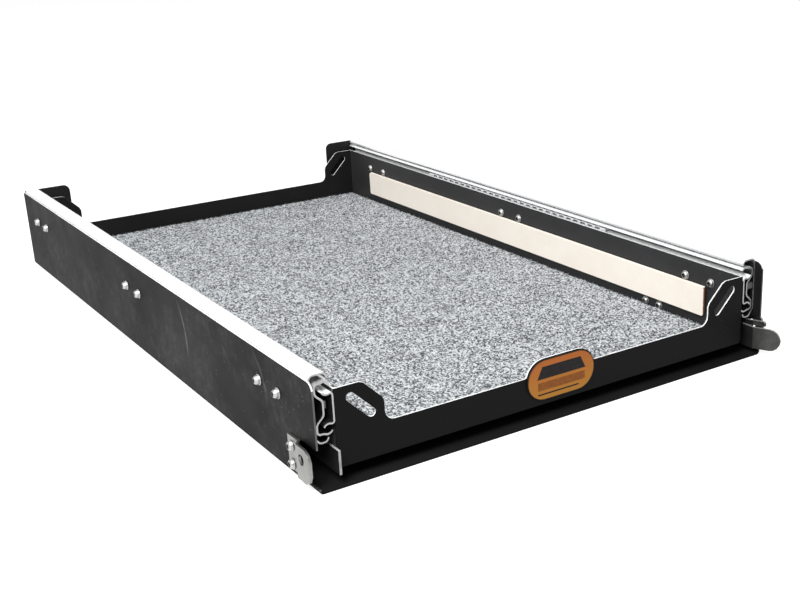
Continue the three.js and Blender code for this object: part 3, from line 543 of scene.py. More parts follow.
def piece(name, body, parts, node, ease=0.0, segments=2):
    """A new piece in place of a CAD node, from parts of (points in millimetres, faces, finish).

    Parts may share their points. Where ease is None the piece stays as sharp as it is."""
    points, faces, marks, materials = [], [], [], []
    starts = {}
    for part_points, part_faces, finish in parts:
        material = finishes[finish]
        if material not in materials:
            materials.append(material)
        if id(part_points) not in starts:
            starts[id(part_points)] = len(points)
            points.extend(tuple(p) for p in part_points)
        start = starts[id(part_points)]
        faces.extend(tuple(start + i for i in face) for face in part_faces)
        marks.extend([materials.index(material)] * len(part_faces))
    mesh = bpy.data.meshes.new(name)
    mesh.from_pydata([(x * MM, y * MM, z * MM) for x, y, z in points], [], faces)
    for material in materials:
        mesh.materials.append(material)
    mesh.polygons.foreach_set("material_index", marks)
    mesh.update()
    obj = placed(name, mesh)
    if ease is not None:
        soften(obj, ease * MM, segments=segments)
    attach(obj, body)
    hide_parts(node)
    return obj


def face_outward(obj):
    mesh = bmesh.new()
    mesh.from_mesh(obj.data)
    bmesh.ops.recalc_face_normals(mesh, faces=mesh.faces)
    mesh.to_mesh(obj.data)
    mesh.free()


def ring_points(centre, axis, side, reaches):
    """Points round an axis, one for each reach, the first of them towards side."""
    other = axis.cross(side)
    points = []
    for step, reach in enumerate(reaches):
        angle = 2 * math.pi * step / len(reaches)
        points.append(centre + (side * math.cos(angle) + other * math.sin(angle)) * reach)
    return points


def ring_faces(rings, steps):
    """Quads between neighbouring rings of steps points each."""
    faces = []
    for ring in range(rings - 1):
        for step in range(steps):
            a, b = ring * steps + step, ring * steps + (step + 1) % steps
            faces.append((a, b, b + steps, a + steps))
    return faces


def closed_faces(rings, steps):
    """The same with a face over the first and the last ring."""
    first, last = range(steps), range((rings - 1) * steps, rings * steps)
    return [*ring_faces(rings, steps), tuple(first)[::-1], tuple(last)]


def merged(points, faces):
    """Joins points that coincide and drops faces that collapse."""
    keys, kept, index = {}, [], []
    for p in points:
        key = tuple(round(c, 4) for c in p)
        if key not in keys:
            keys[key] = len(kept)
            kept.append(tuple(p))
        index.append(keys[key])
    clean = []
    for face in faces:
        ids = []
        for i in face:
            if not ids or index[i] != ids[-1]:
                ids.append(index[i])
        if len(ids) > 1 and ids[0] == ids[-1]:
            ids.pop()
        if len(set(ids)) > 2:
            clean.append(tuple(ids))
    return kept, clean


def lathe(profile, seat, axis, steps):
    """Rings of (radius, distance along the axis) from a seat; a radius of 0 closes an end."""
    side = axis.orthogonal().normalized()
    points = []
    for radius, along in profile:
        points += ring_points(Vector(seat) + axis * along, axis, side, [radius] * steps)
    return merged(points, ring_faces(len(profile), steps))


def box_mesh(low, high):
    (x0, y0, z0), (x1, y1, z1) = low, high
    points = [(x, y, z) for x in (x0, x1) for y in (y0, y1) for z in (z0, z1)]
    faces = [(0, 1, 3, 2), (4, 6, 7, 5), (0, 4, 5, 1), (2, 3, 7, 6), (0, 2, 6, 4), (1, 5, 7, 3)]
    return points, faces


def arc(centre, radius, start, end, steps):
    """Points on an arc between two angles in degrees."""
    angles = [math.radians(start + (end - start) * k / steps) for k in range(steps + 1)]
    return [(centre[0] + radius * math.cos(a), centre[1] + radius * math.sin(a)) for a in angles]


def filleted(line, radius):
    """Rounds the inner corners of an open line, as a rolled or folded sheet has them."""
    out = [line[0]]
    for k in range(1, len(line) - 1):
        a, b, c = (Vector(p) for p in line[k - 1 : k + 2])
        first, second = (a - b), (c - b)
        reach = min(radius, first.length * FILLET_SHARE, second.length * FILLET_SHARE)
        bend = math.pi - first.angle(second, math.pi)
        if bend < LEAST_BEND:
            out.append(line[k])
            continue
        p, q = b + first.normalized() * reach, b + second.normalized() * reach
        for step in range(FILLET_STEPS + 1):
            t = step / FILLET_STEPS
            out.append(tuple(p * (1 - t) ** 2 + b * 2 * t * (1 - t) + q * t * t))
    out.append(line[-1])
    return out


# ------ slide members
# Lengths in millimetres. A place in the section is (depth from the side plate, height from
# the middle of the slide).
outer_low, outer_high = corners("outer_member_left")
SLIDE_HEIGHT = (outer_low.z + outer_high.z) / 2
PLATE_INNER = 308.0
SHEET = 2.0
RUNNING_GAP = 0.2
SAME_PLACE = 1e-9
OUTER_BALL, OUTER_BALL_RADIUS = (11.0, 32.0), 3.8
INNER_BALL, INNER_BALL_RADIUS = (17.6, 22.0), 5.2
OUTER_WEB, OUTER_WEB_BOTTOM = 1.3, 28.5
OUTER_TOP_FLAT, OUTER_BOTTOM_FLAT = 4.8, 2.5
MIDDLE_CENTRE, MIDDLE_CENTRE_HALF = 14.5, 8.0
MIDDLE_EDGE, MIDDLE_EDGE_START, MIDDLE_EDGE_END = 6.1, 16.0, 25.5
INNER_WEB, INNER_WEB_TOP = 23.7, 14.4
INNER_CORNER = (22.8, 16.0)
OUTER_BEND, MIDDLE_BEND, INNER_BEND = 2.4, 3.0, 2.0
MEMBER_EASE = 0.3
# How far the sheet's edges are rounded, how narrow they end, and the limit on a wide corner.
TIP_SHARE, TIP_WIDTH_SHARE, LEAST_LEAN = 0.22, 0.55, 0.8
# The rise of a face's normal below which it looks down, and above which it looks up.
LOOKS_DOWN, LOOKS_UP = -0.4, 0.3


def race(ball, radius, up, start, end, steps, shift=0.0):
    """The centre line of the sheet where it runs round a ball, above (1) or below (-1)."""
    centre = (ball[0] + shift, up * ball[1])
    return arc(centre, radius + RUNNING_GAP + SHEET / 2, up * start, up * end, steps)


def outer_line():
    """The top is a broad cap from the web to the lip; the bottom slopes away from the web."""
    shoulder = OUTER_WEB + OUTER_BALL_RADIUS + RUNNING_GAP + SHEET / 2 - OUTER_BALL[0]
    top = race(OUTER_BALL, OUTER_BALL_RADIUS, 1, 180, 90, 9, shoulder)
    top += race(OUTER_BALL, OUTER_BALL_RADIUS, 1, 90, -15, 10, OUTER_TOP_FLAT)
    bottom = [(OUTER_WEB, -OUTER_WEB_BOTTOM)]
    bottom += race(OUTER_BALL, OUTER_BALL_RADIUS, -1, 150, 90, 6)
    bottom += race(OUTER_BALL, OUTER_BALL_RADIUS, -1, 90, 5, 9, OUTER_BOTTOM_FLAT)
    return filleted(bottom[::-1] + top, OUTER_BEND)


def mirrored(half, bend):
    """A line whose lower half mirrors its upper half."""
    return filleted(half(-1)[::-1] + half(1), bend)


def middle_half(up):
    half = [(MIDDLE_CENTRE, up * MIDDLE_CENTRE_HALF)]
    half += [(MIDDLE_EDGE, up * MIDDLE_EDGE_START), (MIDDLE_EDGE, up * MIDDLE_EDGE_END)]
    half += race(OUTER_BALL, OUTER_BALL_RADIUS, up, -110, -90, 3)
    return half + race(INNER_BALL, INNER_BALL_RADIUS, up, 120, 30, 8)


def inner_half(up):
    half = [(INNER_WEB, up * INNER_WEB_TOP), (INNER_CORNER[0], up * INNER_CORNER[1])]
    return half + race(INNER_BALL, INNER_BALL_RADIUS, up, -60, -150, 8)


def sheet_edges(line):
    """Left and right faces of a sheet that follows a centre line, with eased ends."""
    pts = [Vector(p) for p in line]
    half = SHEET / 2
    left, right = [], []
    for k, here in enumerate(pts):
        before, after = pts[max(k - 1, 0)], pts[min(k + 1, len(pts) - 1)]
        arriving, leaving = (here - before), (after - here)
        if arriving.length < SAME_PLACE:
            arriving = leaving
        if leaving.length < SAME_PLACE:
            leaving = arriving
        first, second = arriving.normalized(), leaving.normalized()
        across = Vector((-(first.y + second.y), first.x + second.x)).normalized()
        lean = max(across.dot(Vector((-first.y, first.x))), LEAST_LEAN)
        left.append(here + across * (half / lean))
        right.append(here - across * (half / lean))
    ease = SHEET * TIP_SHARE
    for end, inward in ((0, 1), (-1, -1)):
        along = (pts[end + inward] - pts[end]).normalized()
        middle = (left[end] + right[end]) / 2
        narrow_left = middle + (left[end] - middle) * TIP_WIDTH_SHARE
        narrow_right = middle + (right[end] - middle) * TIP_WIDTH_SHARE
        left[end], right[end] = left[end] + along * ease, right[end] + along * ease
        place = 0 if end == 0 else len(left)
        left.insert(place, narrow_left)
        right.insert(place, narrow_right)
    return left, right


def rolled_bar(line, start, end, bright_above, centre, bright_finish):
    """A sheet section run along Y. Raised faces that look up or away from centre are bright,
    like the sheet's two edges. Other raised faces and the cut ends are grey, painted half shade
    on those faces; the rest is the same zinc painted dark, a painted shade."""
    left, right = sheet_edges(line)
    count = len(left)
    points = []
    for y in (start, end):
        points += [(p.x, y, p.y) for p in left]
        points += [(p.x, y, p.y) for p in right]
    back = 2 * count
    bright, dark, plain = [], [], []
    for k in range(count - 1):
        for edge, other, first in ((left, right, 0), (right, left, count)):
            a, b = k + first, k + 1 + first
            middle = (edge[k] + edge[k + 1]) / 2
            outward = (middle - (other[k] + other[k + 1]) / 2).normalized()
            convex = outward.dot(middle - Vector(centre)) > 0 and outward.y > LOOKS_DOWN
            shown = convex or outward.y > LOOKS_UP
            raised = min(edge[k].y, edge[k + 1].y) > bright_above
            group = dark if not raised else bright if shown else plain
            group.append((a, b, b + back, a + back))
        plain.append((k + 1, k, k + count, k + 1 + count))
        plain.append((k + back, k + 1 + back, k + 1 + count + back, k + count + back))
    bright.append((0, back, count + back, count))
    bright.append((count - 1, 2 * count - 1, 2 * count - 1 + back, count - 1 + back))
    return [
        (points, bright, bright_finish),
        (points, dark, "runner_painted_shade"),
        (points, plain, "runner_end_and_half_shade"),
    ]


# Each member with its line, the height above which its faces are raised (below it they are
# painted dark as shade), the ball that its upper race turns round, and its bright finish.
MEMBERS = (
    ("outer", outer_line(), 28.0, OUTER_BALL, "runner"),
    ("middle", mirrored(middle_half, MIDDLE_BEND), 24.0, INNER_BALL, "runner"),
    ("inner", mirrored(inner_half, INNER_BEND), 12.0, INNER_BALL, "runner_painted_light"),
)
for side, sign in SIDES:
    bodies = {"outer": "base", "middle": f"middle_{side}", "inner": "tray"}
    for member, line, raised_from, ball, bright in MEMBERS:
        node = f"{member}_member_{side}"
        low, high = corners(node)
        section = [(sign * (PLATE_INNER - depth), SLIDE_HEIGHT + rise) for depth, rise in line]
        centre = (sign * (PLATE_INNER - ball[0]), SLIDE_HEIGHT + ball[1])
        parts = rolled_bar(section, low.y, high.y, SLIDE_HEIGHT + raised_from, centre, bright)
        name = f"runner_{member}_{side}"
        face_outward(piece(name, bodies[member], parts, node, MEMBER_EASE))

# ------ ball cages
BALL_PITCH = 16.4
POCKET = 11.0
# What the two ends of a cage leave free of balls, its sheet and its rails beside the pockets.
CAGE_MARGIN = 20
CAGE_SHEET = 0.8
CAGE_RAIL = 1.0
# The inner cages' folded lip: depths, reach above and below the row, and closed borders.
LIP_DEPTHS = (22.2, 23.0)
LIP_BEHIND, LIP_AHEAD = 3.4, 1.4
LIP_LOW_BORDER, LIP_HIGH_BORDER = 0.9, 1.1
BALL_RINGS, BALL_STEPS = 8, 12


def ball_mesh(centre, radius):
    angles = [math.pi * k / BALL_RINGS for k in range(BALL_RINGS + 1)]
    profile = [(radius * math.sin(a), -radius * math.cos(a)) for a in angles]
    return lathe(profile, centre, Vector((0, 0, 1)), BALL_STEPS)


def slotted(stops, marks):
    """Spans along Y and across it that leave a slot in every second stretch of a strip."""
    for k in range(len(stops) - 1):
        for a, b in ((0, 1), (2, 3)) if k % 2 else ((0, 1), (1, 2), (2, 3)):
            yield stops[k], stops[k + 1], marks[a], marks[b]


def cage_parts(x, z, half, low, high, lip, ball_radius):
    """A slotted retainer strip and its balls, with a slotted lip where one is given."""
    length = high - low
    count = int((length - CAGE_MARGIN) // BALL_PITCH) + 1
    first = low + (length - (count - 1) * BALL_PITCH) / 2
    rows = [first + k * BALL_PITCH for k in range(count)]
    stops = [low, *(y + reach for y in rows for reach in (-POCKET / 2, POCKET / 2)), high]
    rail = half - CAGE_RAIL
    boxes = []
    for y0, y1, x0, x1 in slotted(stops, (x - half, x - rail, x + rail, x + half)):
        boxes.append(((x0, y0, z - CAGE_SHEET / 2), (x1, y1, z + CAGE_SHEET / 2)))
    if lip:
        (near, far), (bottom, top) = lip
        marks = (bottom, bottom + LIP_LOW_BORDER, top - LIP_HIGH_BORDER, top)
        for y0, y1, z0, z1 in slotted(stops, marks):
            boxes.append(((near, y0, z0), (far, y1, z1)))
    strips = [(*box_mesh(*ends), "retainer") for ends in boxes]
    return strips + [(*ball_mesh((x, y, z), ball_radius), "ball") for y in rows]


# Each kind of cage with its ball and half its width.
CAGES = (
    ("outer", OUTER_BALL, OUTER_BALL_RADIUS, 3.6),
    ("inner", INNER_BALL, INNER_BALL_RADIUS, 4.6),
)
for side, sign in SIDES:
    for cage, ball, radius, half in CAGES:
        for level, up in LEVELS:
            node = f"{cage}_cage_{side}_{level}"
            low, high = corners(node)
            x = sign * (PLATE_INNER - ball[0])
            z = SLIDE_HEIGHT + up * ball[1]
            lip = None
            if cage == "inner":
                depths = sorted(sign * (PLATE_INNER - depth) for depth in LIP_DEPTHS)
                lip = (depths, sorted((z - up * LIP_BEHIND, z + up * LIP_AHEAD)))
            parts = cage_parts(x, z, half, low.y, high.y, lip, radius)
            name = f"retainer_{cage}_{side}_{level}"
            piece(name, f"{cage}_cages_{side}", parts, node)


# ------ screws
# The head as (radius, distance along the screw, share of the extra height of a tall head),
# and its hexagon socket as (scale, distance, share). The head lies at negative distances.
HEAD = (
    (2.9, 0.0, 0.0), (6.15, 0.0, 0.0), (6.2, -0.25, 0.0), (6.1, -0.75, 0.0),
    (5.5, -0.9, 0.0), (5.35, -1.0, 0.0), (5.3, -1.6, 0.0), (5.0, -2.5, 0.35),
    (4.4, -3.3, 0.65), (3.6, -3.9, 0.9), (2.95, -4.15, 1.0),
)
SOCKET = ((1.12, -4.15, 1.0), (1.0, -3.95, 1.0), (1.0, -2.2, 0.0))
SOCKET_CORNER = 2.31
SOCKET_FLOOR = -1.9
SCREW_STEPS = 24
SHANK_RADIUS, POINT_RADIUS, POINT_LENGTH = 2.9, 2.3, 0.7
HEAD_HEIGHT = 4.2
TALL_HEAD = 2.0
# The threaded strip behind a pair: half its width, its thickness and how far the screws pass.
STRIP_HALF, STRIP_SHEET, SCREW_END = 5.4, 2.0, 1.0
SCREW_EASE = 0.12
PAIR_SPACING, KEEPER_SPACING, PLATE_SPACING = 46, 20.5, 27


def hexagon_reaches(corner):
    """Distances from the centre of a hexagon to its outline, at even angles."""
    out = []
    for k in range(SCREW_STEPS):
        angle = (2 * math.pi * k / SCREW_STEPS) % (math.pi / 3)
        out.append(corner * math.cos(math.pi / 6) / math.cos(angle - math.pi / 6))
    return out


def button_screw(seat, inward, length, rise):
    """A flanged button-head socket screw; inward is +1 or -1 along X, where its point runs."""
    axis = Vector((inward, 0, 0))
    side = axis.orthogonal().normalized()
    outline = [(radius, along - rise * share) for radius, along, share in HEAD]
    crown_radius, crown = outline[-1]
    levels = [([crown_radius] * SCREW_STEPS, crown)]
    for scale, along, share in SOCKET:
        levels.append((hexagon_reaches(SOCKET_CORNER * scale), along - rise * share))
    recess = []
    for reaches, along in levels:
        recess += ring_points(Vector(seat) + axis * along, axis, side, reaches)
    recess.append(Vector(seat) + axis * SOCKET_FLOOR)
    recess_faces = ring_faces(len(levels), SCREW_STEPS)
    last, centre = (len(levels) - 1) * SCREW_STEPS, len(recess) - 1
    for k in range(SCREW_STEPS):
        recess_faces.append((last + k, last + (k + 1) % SCREW_STEPS, centre))
    shank = [(SHANK_RADIUS, 0.0), (SHANK_RADIUS, length - POINT_LENGTH)]
    shank += [(POINT_RADIUS, length), (0.0, length)]
    return [
        (*lathe(outline, seat, axis, SCREW_STEPS), "fastener"),
        (recess, recess_faces, "socket"),
        (*lathe(shank, seat, axis, SCREW_STEPS), "fastener"),
    ]


def screw_pair(node, body, spacing, upright=False):
    """Two screws and the threaded strip behind them; base screws have tall heads."""
    low, high = corners(node)
    outward = 1 if (low.x + high.x) / 2 > 0 else -1
    head_side = outward if node.startswith(("base", "keeper")) else -outward
    inward = -head_side
    face, tip = (high.x, low.x) if head_side > 0 else (low.x, high.x)
    seat_x = face - head_side * HEAD_HEIGHT
    rise = TALL_HEAD if node.startswith("base") else 0.0
    middle_y, middle_z = (low.y + high.y) / 2, (low.z + high.z) / 2
    parts = []
    for share in (-0.5, 0.5):
        y = middle_y + (0 if upright else share * spacing)
        z = middle_z + (share * spacing if upright else 0)
        parts += button_screw((seat_x, y, z), inward, abs(tip - seat_x), rise)
    far = tip - inward * SCREW_END
    x0, x1 = sorted((far - inward * STRIP_SHEET, far))
    if upright:
        strip = (x0, middle_y - STRIP_HALF, low.z), (x1, middle_y + STRIP_HALF, high.z)
    else:
        strip = (x0, low.y, middle_z - STRIP_HALF), (x1, high.y, middle_z + STRIP_HALF)
    parts.append((*box_mesh(*strip), "fastener"))
    name = f"fixings_{node}"
    face_outward(piece(name, body, parts, node, SCREW_EASE, 1))


for side, _ in SIDES:
    for pair in PAIRS:
        screw_pair(f"base_screws_{side}_{pair}", "base", PAIR_SPACING)
        screw_pair(f"tray_screws_{side}_{pair}", "tray", PAIR_SPACING)
    screw_pair(f"keeper_screws_{side}", "base", KEEPER_SPACING, upright=True)
screw_pair("latch_bracket_screws", "tray", PLATE_SPACING)
screw_pair("guide_plate_screws", "tray", PLATE_SPACING)

# ------ carpet
# The pile reaches a little past the CAD slab, in cells of PILE_PITCH with shifted corners.
PILE_REACH = 1.5
PILE_PITCH = 2.6
PILE_SHIFT = 0.5
PILE_SINK = 1.2
# Relief as (height, pitch) of two smooth noises, and the height of the noise at each point.
PILE_FINE, PILE_COARSE, PILE_ROUGH = (1.5, 4.2), (0.9, 11), 1.5
EDGE_DROP, EDGE_RUN = 1.6, 2.2
# Loose fibres: number, root depth, range of lengths, greatest lean and range of widths.
LOOSE_FIBRES = (9000, 1.0, (1.8, 3.4), 0.7, (0.35, 0.6))
EDGE_FIBRES = (5200, 2.4, (2.2, 5.2), 0.45, (0.3, 0.5))
EDGE_SPREAD = 1.6
FIBRE_MARGIN = 1
# A fibre's knee and tip as shares of its length and lean, and its depth and knee of its width.
KNEE_LEAN, KNEE_RISE, TIP_RISE = 0.3, 0.62, 0.95
STALK_DEPTH, KNEE_WIDTH = 0.6, 0.7

rng = np.random.default_rng(7)
tuft_points, tuft_faces = [], []


def value_noise(x, y, pitch):
    """Smooth noise from 0 to 1 with the given pitch in millimetres."""
    gx, gy = x / pitch, y / pitch
    ix, iy = np.floor(gx).astype(int), np.floor(gy).astype(int)
    ix -= ix.min()
    iy -= iy.min()
    table = rng.random((ix.max() + 2, iy.max() + 2))
    fx, fy = gx - np.floor(gx), gy - np.floor(gy)
    fx, fy = fx * fx * (3 - 2 * fx), fy * fy * (3 - 2 * fy)
    top = table[ix, iy] * (1 - fx) + table[ix + 1, iy] * fx
    bottom = table[ix, iy + 1] * (1 - fx) + table[ix + 1, iy + 1] * fx
    return top * (1 - fy) + bottom * fy


def pile_sheet(x0, x1, y0, y1, base, top):
    """A closed slab with an uneven upper side that drops towards its edges."""
    nx, ny = int((x1 - x0) / PILE_PITCH), int((y1 - y0) / PILE_PITCH)
    gx, gy = np.meshgrid(np.linspace(x0, x1, nx), np.linspace(y0, y1, ny), indexing="ij")
    gx = gx + (rng.random(gx.shape) - 0.5) * PILE_PITCH * PILE_SHIFT
    gy = gy + (rng.random(gy.shape) - 0.5) * PILE_PITCH * PILE_SHIFT
    gz = top - PILE_SINK
    for height, pitch in (PILE_FINE, PILE_COARSE):
        gz = gz + height * value_noise(gx, gy, pitch)
    gz = gz + PILE_ROUGH * (rng.random(gx.shape) - 0.5)
    inside = np.minimum(np.minimum(gx - x0, x1 - gx), np.minimum(gy - y0, y1 - gy))
    gz = gz - EDGE_DROP * np.exp(-np.maximum(inside, 0) / EDGE_RUN)
    points = np.stack([gx, gy, gz], 2).reshape(-1, 3).tolist()
    ids = np.arange(nx * ny).reshape(nx, ny)
    quads = (ids[:-1, :-1], ids[1:, :-1], ids[1:, 1:], ids[:-1, 1:])
    faces = np.stack(quads, 2).reshape(-1, 4).tolist()
    rim = [*ids[:, 0], *ids[-1, 1:], *ids[-2::-1, -1], *ids[0, -2:0:-1]]
    start, count = len(points), len(rim)
    points += [[points[i][0], points[i][1], base] for i in rim]
    for k in range(count):
        a, b = int(rim[k]), int(rim[(k + 1) % count])
        faces.append([b, a, start + k, start + (k + 1) % count])
    faces.append([start + k for k in range(count)][::-1])
    return points, faces


def fibre(x, y, z, lengths, most_lean, widths):
    """One loose fibre: a three-sided stalk that leans over to a tip."""
    length = rng.uniform(*lengths)
    lean_x, lean_y = rng.uniform(-most_lean, most_lean, 2)
    width = rng.uniform(*widths)
    turn = rng.random() * math.pi
    dx, dy = math.cos(turn) * width / 2, math.sin(turn) * width / 2
    n = len(tuft_points)
    knee_x, knee_y = x + lean_x * length * KNEE_LEAN, y + lean_y * length * KNEE_LEAN
    knee_z = z + length * KNEE_RISE
    tuft_points.extend([(x - dx, y - dy, z), (x + dx, y + dy, z)])
    tuft_points.append((x - dy * STALK_DEPTH, y + dx * STALK_DEPTH, z))
    tuft_points.append((knee_x - dx * KNEE_WIDTH, knee_y - dy * KNEE_WIDTH, knee_z))
    tuft_points.append((knee_x + dx * KNEE_WIDTH, knee_y + dy * KNEE_WIDTH, knee_z))
    tuft_points.append((x + lean_x * length, y + lean_y * length, z + length * TIP_RISE))
    tuft_faces.extend([(n, n + 1, n + 4, n + 3), (n + 3, n + 4, n + 5), (n + 1, n + 2, n + 4)])
    tuft_faces.extend([(n + 2, n, n + 3), (n + 2, n + 3, n + 5, n + 4)])


def make_carpet():
    low, high = corners("carpet")
    x0, x1 = low.x - PILE_REACH, high.x + PILE_REACH
    y0, y1 = low.y - PILE_REACH, high.y + PILE_REACH
    sheet = pile_sheet(x0, x1, y0, y1, low.z, high.z)
    number, depth, *shape = LOOSE_FIBRES
    for _ in range(number):
        x = rng.uniform(x0 + FIBRE_MARGIN, x1 - FIBRE_MARGIN)
        y = rng.uniform(y0 + FIBRE_MARGIN, y1 - FIBRE_MARGIN)
        fibre(x, y, high.z - depth, *shape)
    number, depth, *shape = EDGE_FIBRES
    for _ in range(number):
        along = rng.random()
        side = rng.integers(0, 4)
        off = abs(rng.normal(0, EDGE_SPREAD))
        if side < 2:
            x = x0 + off if side == 0 else x1 - off
            y = y0 + along * (y1 - y0)
        else:
            x = x0 + along * (x1 - x0)
            y = y0 + off if side == 2 else y1 - off
        fibre(x, y, high.z - depth, *shape)
    parts = [(*sheet, "carpet"), (tuft_points, tuft_faces, "carpet")]
    piece("carpet_pile", "tray", parts, "carpet", ease=None)


make_carpet()

# ------ badge
badge_low, badge_high = corners("badge")
BADGE_HALF = 47.0
BADGE_BACK = -502.3
BADGE_CORNER_STEPS = 14
BADGE_STRAIGHT = 0.3
# Outlines from the back forward as (inset, distance behind the front).
RIM_STEPS = ((0, 0.35), (0.3, 0.0), (0.7, 0.0), (0.95, 0.5))
FACE_STEPS = ((0.9, 0.4), (2.4, 0.32), (9, 0.22))
FACE_BEHIND_RIM = 0.2
# The print: a dark panel as X and Z points, and bars as X and Z limits and finish.
PANEL = ((-34.0, 50.5), (34.0, 50.5), (27.0, 65.0), (-27.0, 65.0))
BARS = (((-33, 33), (37.0, 46.5), "badge_bar"), ((-33, 24), (31.4, 33.0), "badge_line"))
PRINT_FRONT, PRINT_BACK = badge_low.y + 0.02, badge_low.y + 0.4
BADGE_EASE = 0.1


def badge_outline(inset):
    """A rounded outline in X and Z inside the badge's own."""
    half, bottom, top = BADGE_HALF - inset, badge_low.z + inset, badge_high.z - inset
    radius = (top - bottom) / 2 - BADGE_STRAIGHT
    out = []
    for x, z, start in (
        (half - radius, top - radius, 0),
        (-half + radius, top - radius, 90),
        (-half + radius, bottom + radius, 180),
        (half - radius, bottom + radius, 270),
    ):
        out += arc((x, z), radius, start, start + 90, BADGE_CORNER_STEPS)
    return out


def stacked(outlines, finish):
    """A closed solid through (outline, Y) levels."""
    points = [(x, y, z) for outline, y in outlines for x, z in outline]
    return points, closed_faces(len(outlines), len(outlines[0][0])), finish


def badge_layer(back, steps, finish):
    levels = [(badge_outline(inset), badge_low.y + behind) for inset, behind in steps]
    return stacked([(levels[0][0], back), *levels], finish)


badge_parts = [
    badge_layer(BADGE_BACK, RIM_STEPS, "badge_rim"),
    badge_layer(BADGE_BACK - FACE_BEHIND_RIM, FACE_STEPS, "badge"),
    stacked([(PANEL, PRINT_BACK), (PANEL, PRINT_FRONT)], "badge_line"),
]
for (x0, x1), (z0, z1), ink in BARS:
    badge_parts.append((*box_mesh((x0, PRINT_FRONT, z0), (x1, PRINT_BACK, z1)), ink))
face_outward(piece("badge_plate", "tray", badge_parts, "badge", BADGE_EASE, 1))

# ------ latch spring
PIVOT_X, PIVOT_Y = 296.5, -342.0
COIL_TURNS, COIL_STEPS, COIL_RADIUS, COIL_END = 3, 20, 4.4, 1.0
WIRE_RADIUS, WIRE_STEPS = 0.95, 8


def wire(path, radius):
    """A round wire along a path."""
    pts = [Vector(p) for p in path]
    points = []
    across = None
    for k, here in enumerate(pts):
        run = (pts[min(k + 1, len(pts) - 1)] - pts[max(k - 1, 0)]).normalized()
        if across is None:
            across = run.orthogonal().normalized()
        across = (across - run * across.dot(run)).normalized()
        points += ring_points(here, run, across, [radius] * WIRE_STEPS)
    return points, closed_faces(len(pts), WIRE_STEPS)


def make_spring():
    low, high = corners("latch_spring")
    bottom, top = low.z + COIL_END, high.z - COIL_END
    count = COIL_TURNS * COIL_STEPS
    coil = []
    for k in range(count + 1):
        angle = 2 * math.pi * k / COIL_STEPS - math.pi / 2
        x = PIVOT_X + COIL_RADIUS * math.cos(angle)
        y = PIVOT_Y + COIL_RADIUS * math.sin(angle)
        coil.append((x, y, bottom + (top - bottom) * k / count))
    parts = [(*wire(coil, WIRE_RADIUS), "spring")]
    face_outward(piece("lever_spring", "lever", parts, "latch_spring"))


make_spring()

# ------ CAD nodes that stay
# Each with its finish and the width of its eased edges in millimetres.
KEPT = [
    ("base_pan", "side_plates", 0.3),
    ("base_rear_panel", "rear_panel", 0.3),
    ("tray_pan", "trough", 0.3),
    ("tray_front_wall", "walls", 0.3),
    ("tray_rear_wall", "rear_wall", 0.3),
    ("guide_plate", "guide", 0.4),
    ("side_board", "board", 0.4),
    ("board_tape", "tape", 0.1),
    ("latch_lever", "lever", 0.4),
    ("latch_bracket", "bracket", 0.3),
    ("pivot_pin", "fastener", 0.3),
]
for side, _ in SIDES:
    KEPT += [
        (f"tray_side_{side}", "trough", 0.3),
        (f"keeper_bracket_{side}", "bracket", 0.4),
        (f"stop_bumper_{side}", "nylon", 0.6),
        (f"rear_buffer_{side}", "rubber", 0.6),
    ]
for node, finish, width in KEPT:
    nodes[node].material_slots[0].material = finishes[finish]
    soften(nodes[node], width * MM, weld=True)

# ------ floor, world and lamps
FLOOR_HALF, FLOOR_DROP = 14.0, 0.0004
FLOOR_LIT, FLOOR_PLAIN, FLOOR_GLOW = 0.5, 0.45, 0.80
# The world's strength as a light, and where it is seen.
WORLD_LIGHT, WORLD_SEEN = 0.36, 1.0


def ray_gate(tree, kinds):
    """1 for rays of any of the given kinds."""
    path = tree.nodes.new("ShaderNodeLightPath")
    gate = path.outputs[kinds[0]]
    for kind in kinds[1:]:
        either = tree.nodes.new("ShaderNodeMath")
        either.operation = "MAXIMUM"
        tree.links.new(gate, either.inputs[0])
        tree.links.new(path.outputs[kind], either.inputs[1])
        gate = either.outputs[0]
    return gate


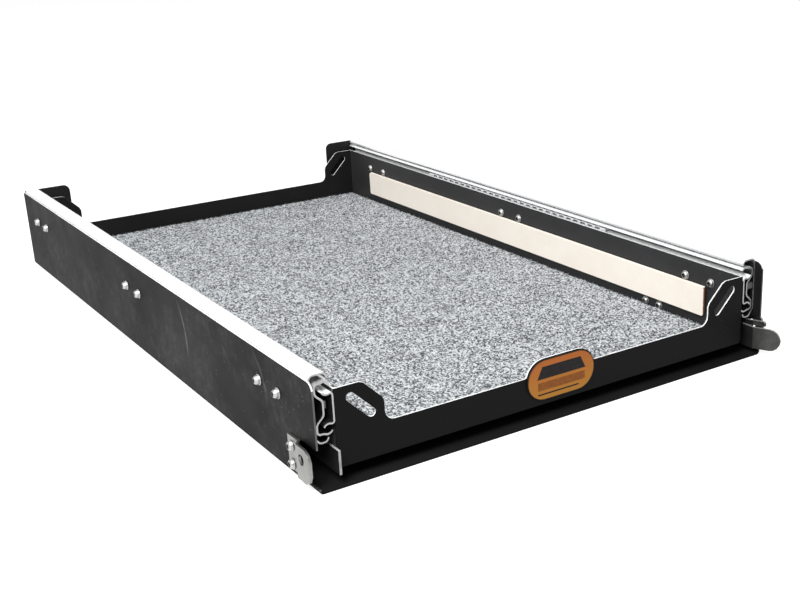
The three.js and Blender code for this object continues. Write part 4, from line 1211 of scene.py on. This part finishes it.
def floor_finish():
    """White where it is seen, with the object's shadow, and plain grey as a reflector of light."""
    material = bpy.data.materials.new("floor")
    material.use_nodes = True
    tree = material.node_tree
    tree.nodes.clear()
    add, link = tree.nodes.new, tree.links.new
    output = add("ShaderNodeOutputMaterial")
    seen = add("ShaderNodeAddShader")
    pick = add("ShaderNodeMixShader")
    lit = add("ShaderNodeBsdfDiffuse")
    lit.inputs["Color"].default_value = (*grey(FLOOR_LIT), 1)
    plain = add("ShaderNodeBsdfDiffuse")
    plain.inputs["Color"].default_value = (*grey(FLOOR_PLAIN), 1)
    glow = add("ShaderNodeEmission")
    glow.inputs["Strength"].default_value = FLOOR_GLOW
    link(lit.outputs[0], seen.inputs[0])
    link(glow.outputs[0], seen.inputs[1])
    link(ray_gate(tree, ("Is Camera Ray", "Is Glossy Ray")), pick.inputs[0])
    link(plain.outputs[0], pick.inputs[1])
    link(seen.outputs[0], pick.inputs[2])
    link(pick.outputs[0], output.inputs["Surface"])
    return material


def make_floor():
    mesh = bpy.data.meshes.new("floor")
    corner_signs = ((-1, -1), (1, -1), (1, 1), (-1, 1))
    points = [(x * FLOOR_HALF, y * FLOOR_HALF, -FLOOR_DROP) for x, y in corner_signs]
    mesh.from_pydata(points, [], [(0, 1, 2, 3)])
    mesh.materials.append(floor_finish())
    floor = placed("floor", mesh)


def make_world():
    world = bpy.data.worlds.new("studio")
    bpy.context.scene.world = world
    world.use_nodes = True
    tree = world.node_tree
    background = tree.nodes["Background"]
    level = tree.nodes.new("ShaderNodeMapRange")
    level.inputs["To Min"].default_value = WORLD_LIGHT
    level.inputs["To Max"].default_value = WORLD_SEEN
    gate = ray_gate(tree, ("Is Camera Ray", "Is Glossy Ray", "Is Transmission Ray"))
    tree.links.new(gate, level.inputs["Value"])
    tree.links.new(level.outputs["Result"], background.inputs["Strength"])
    background.inputs["Color"].default_value = (1, 1, 1, 1)


def lamp(name, place, target, size, power):
    data = bpy.data.lights.new(name, "AREA")
    data.shape = "DISK"
    data.size = size
    data.energy = power
    obj = placed(name, data)
    obj.location = place
    obj.rotation_mode = "QUATERNION"
    obj.rotation_quaternion = (Vector(target) - Vector(place)).to_track_quat("-Z", "Y")


make_floor()
make_world()
lamp("key", (-1.3, -1.4, 1.8), (0.05, -0.2, 0.05), 1.1, 64)
lamp("top", (-0.3, -0.1, 2.2), (0.1, 0.1, 0), 1.6, 22)
bpy.context.scene.view_settings.view_transform = "Standard"
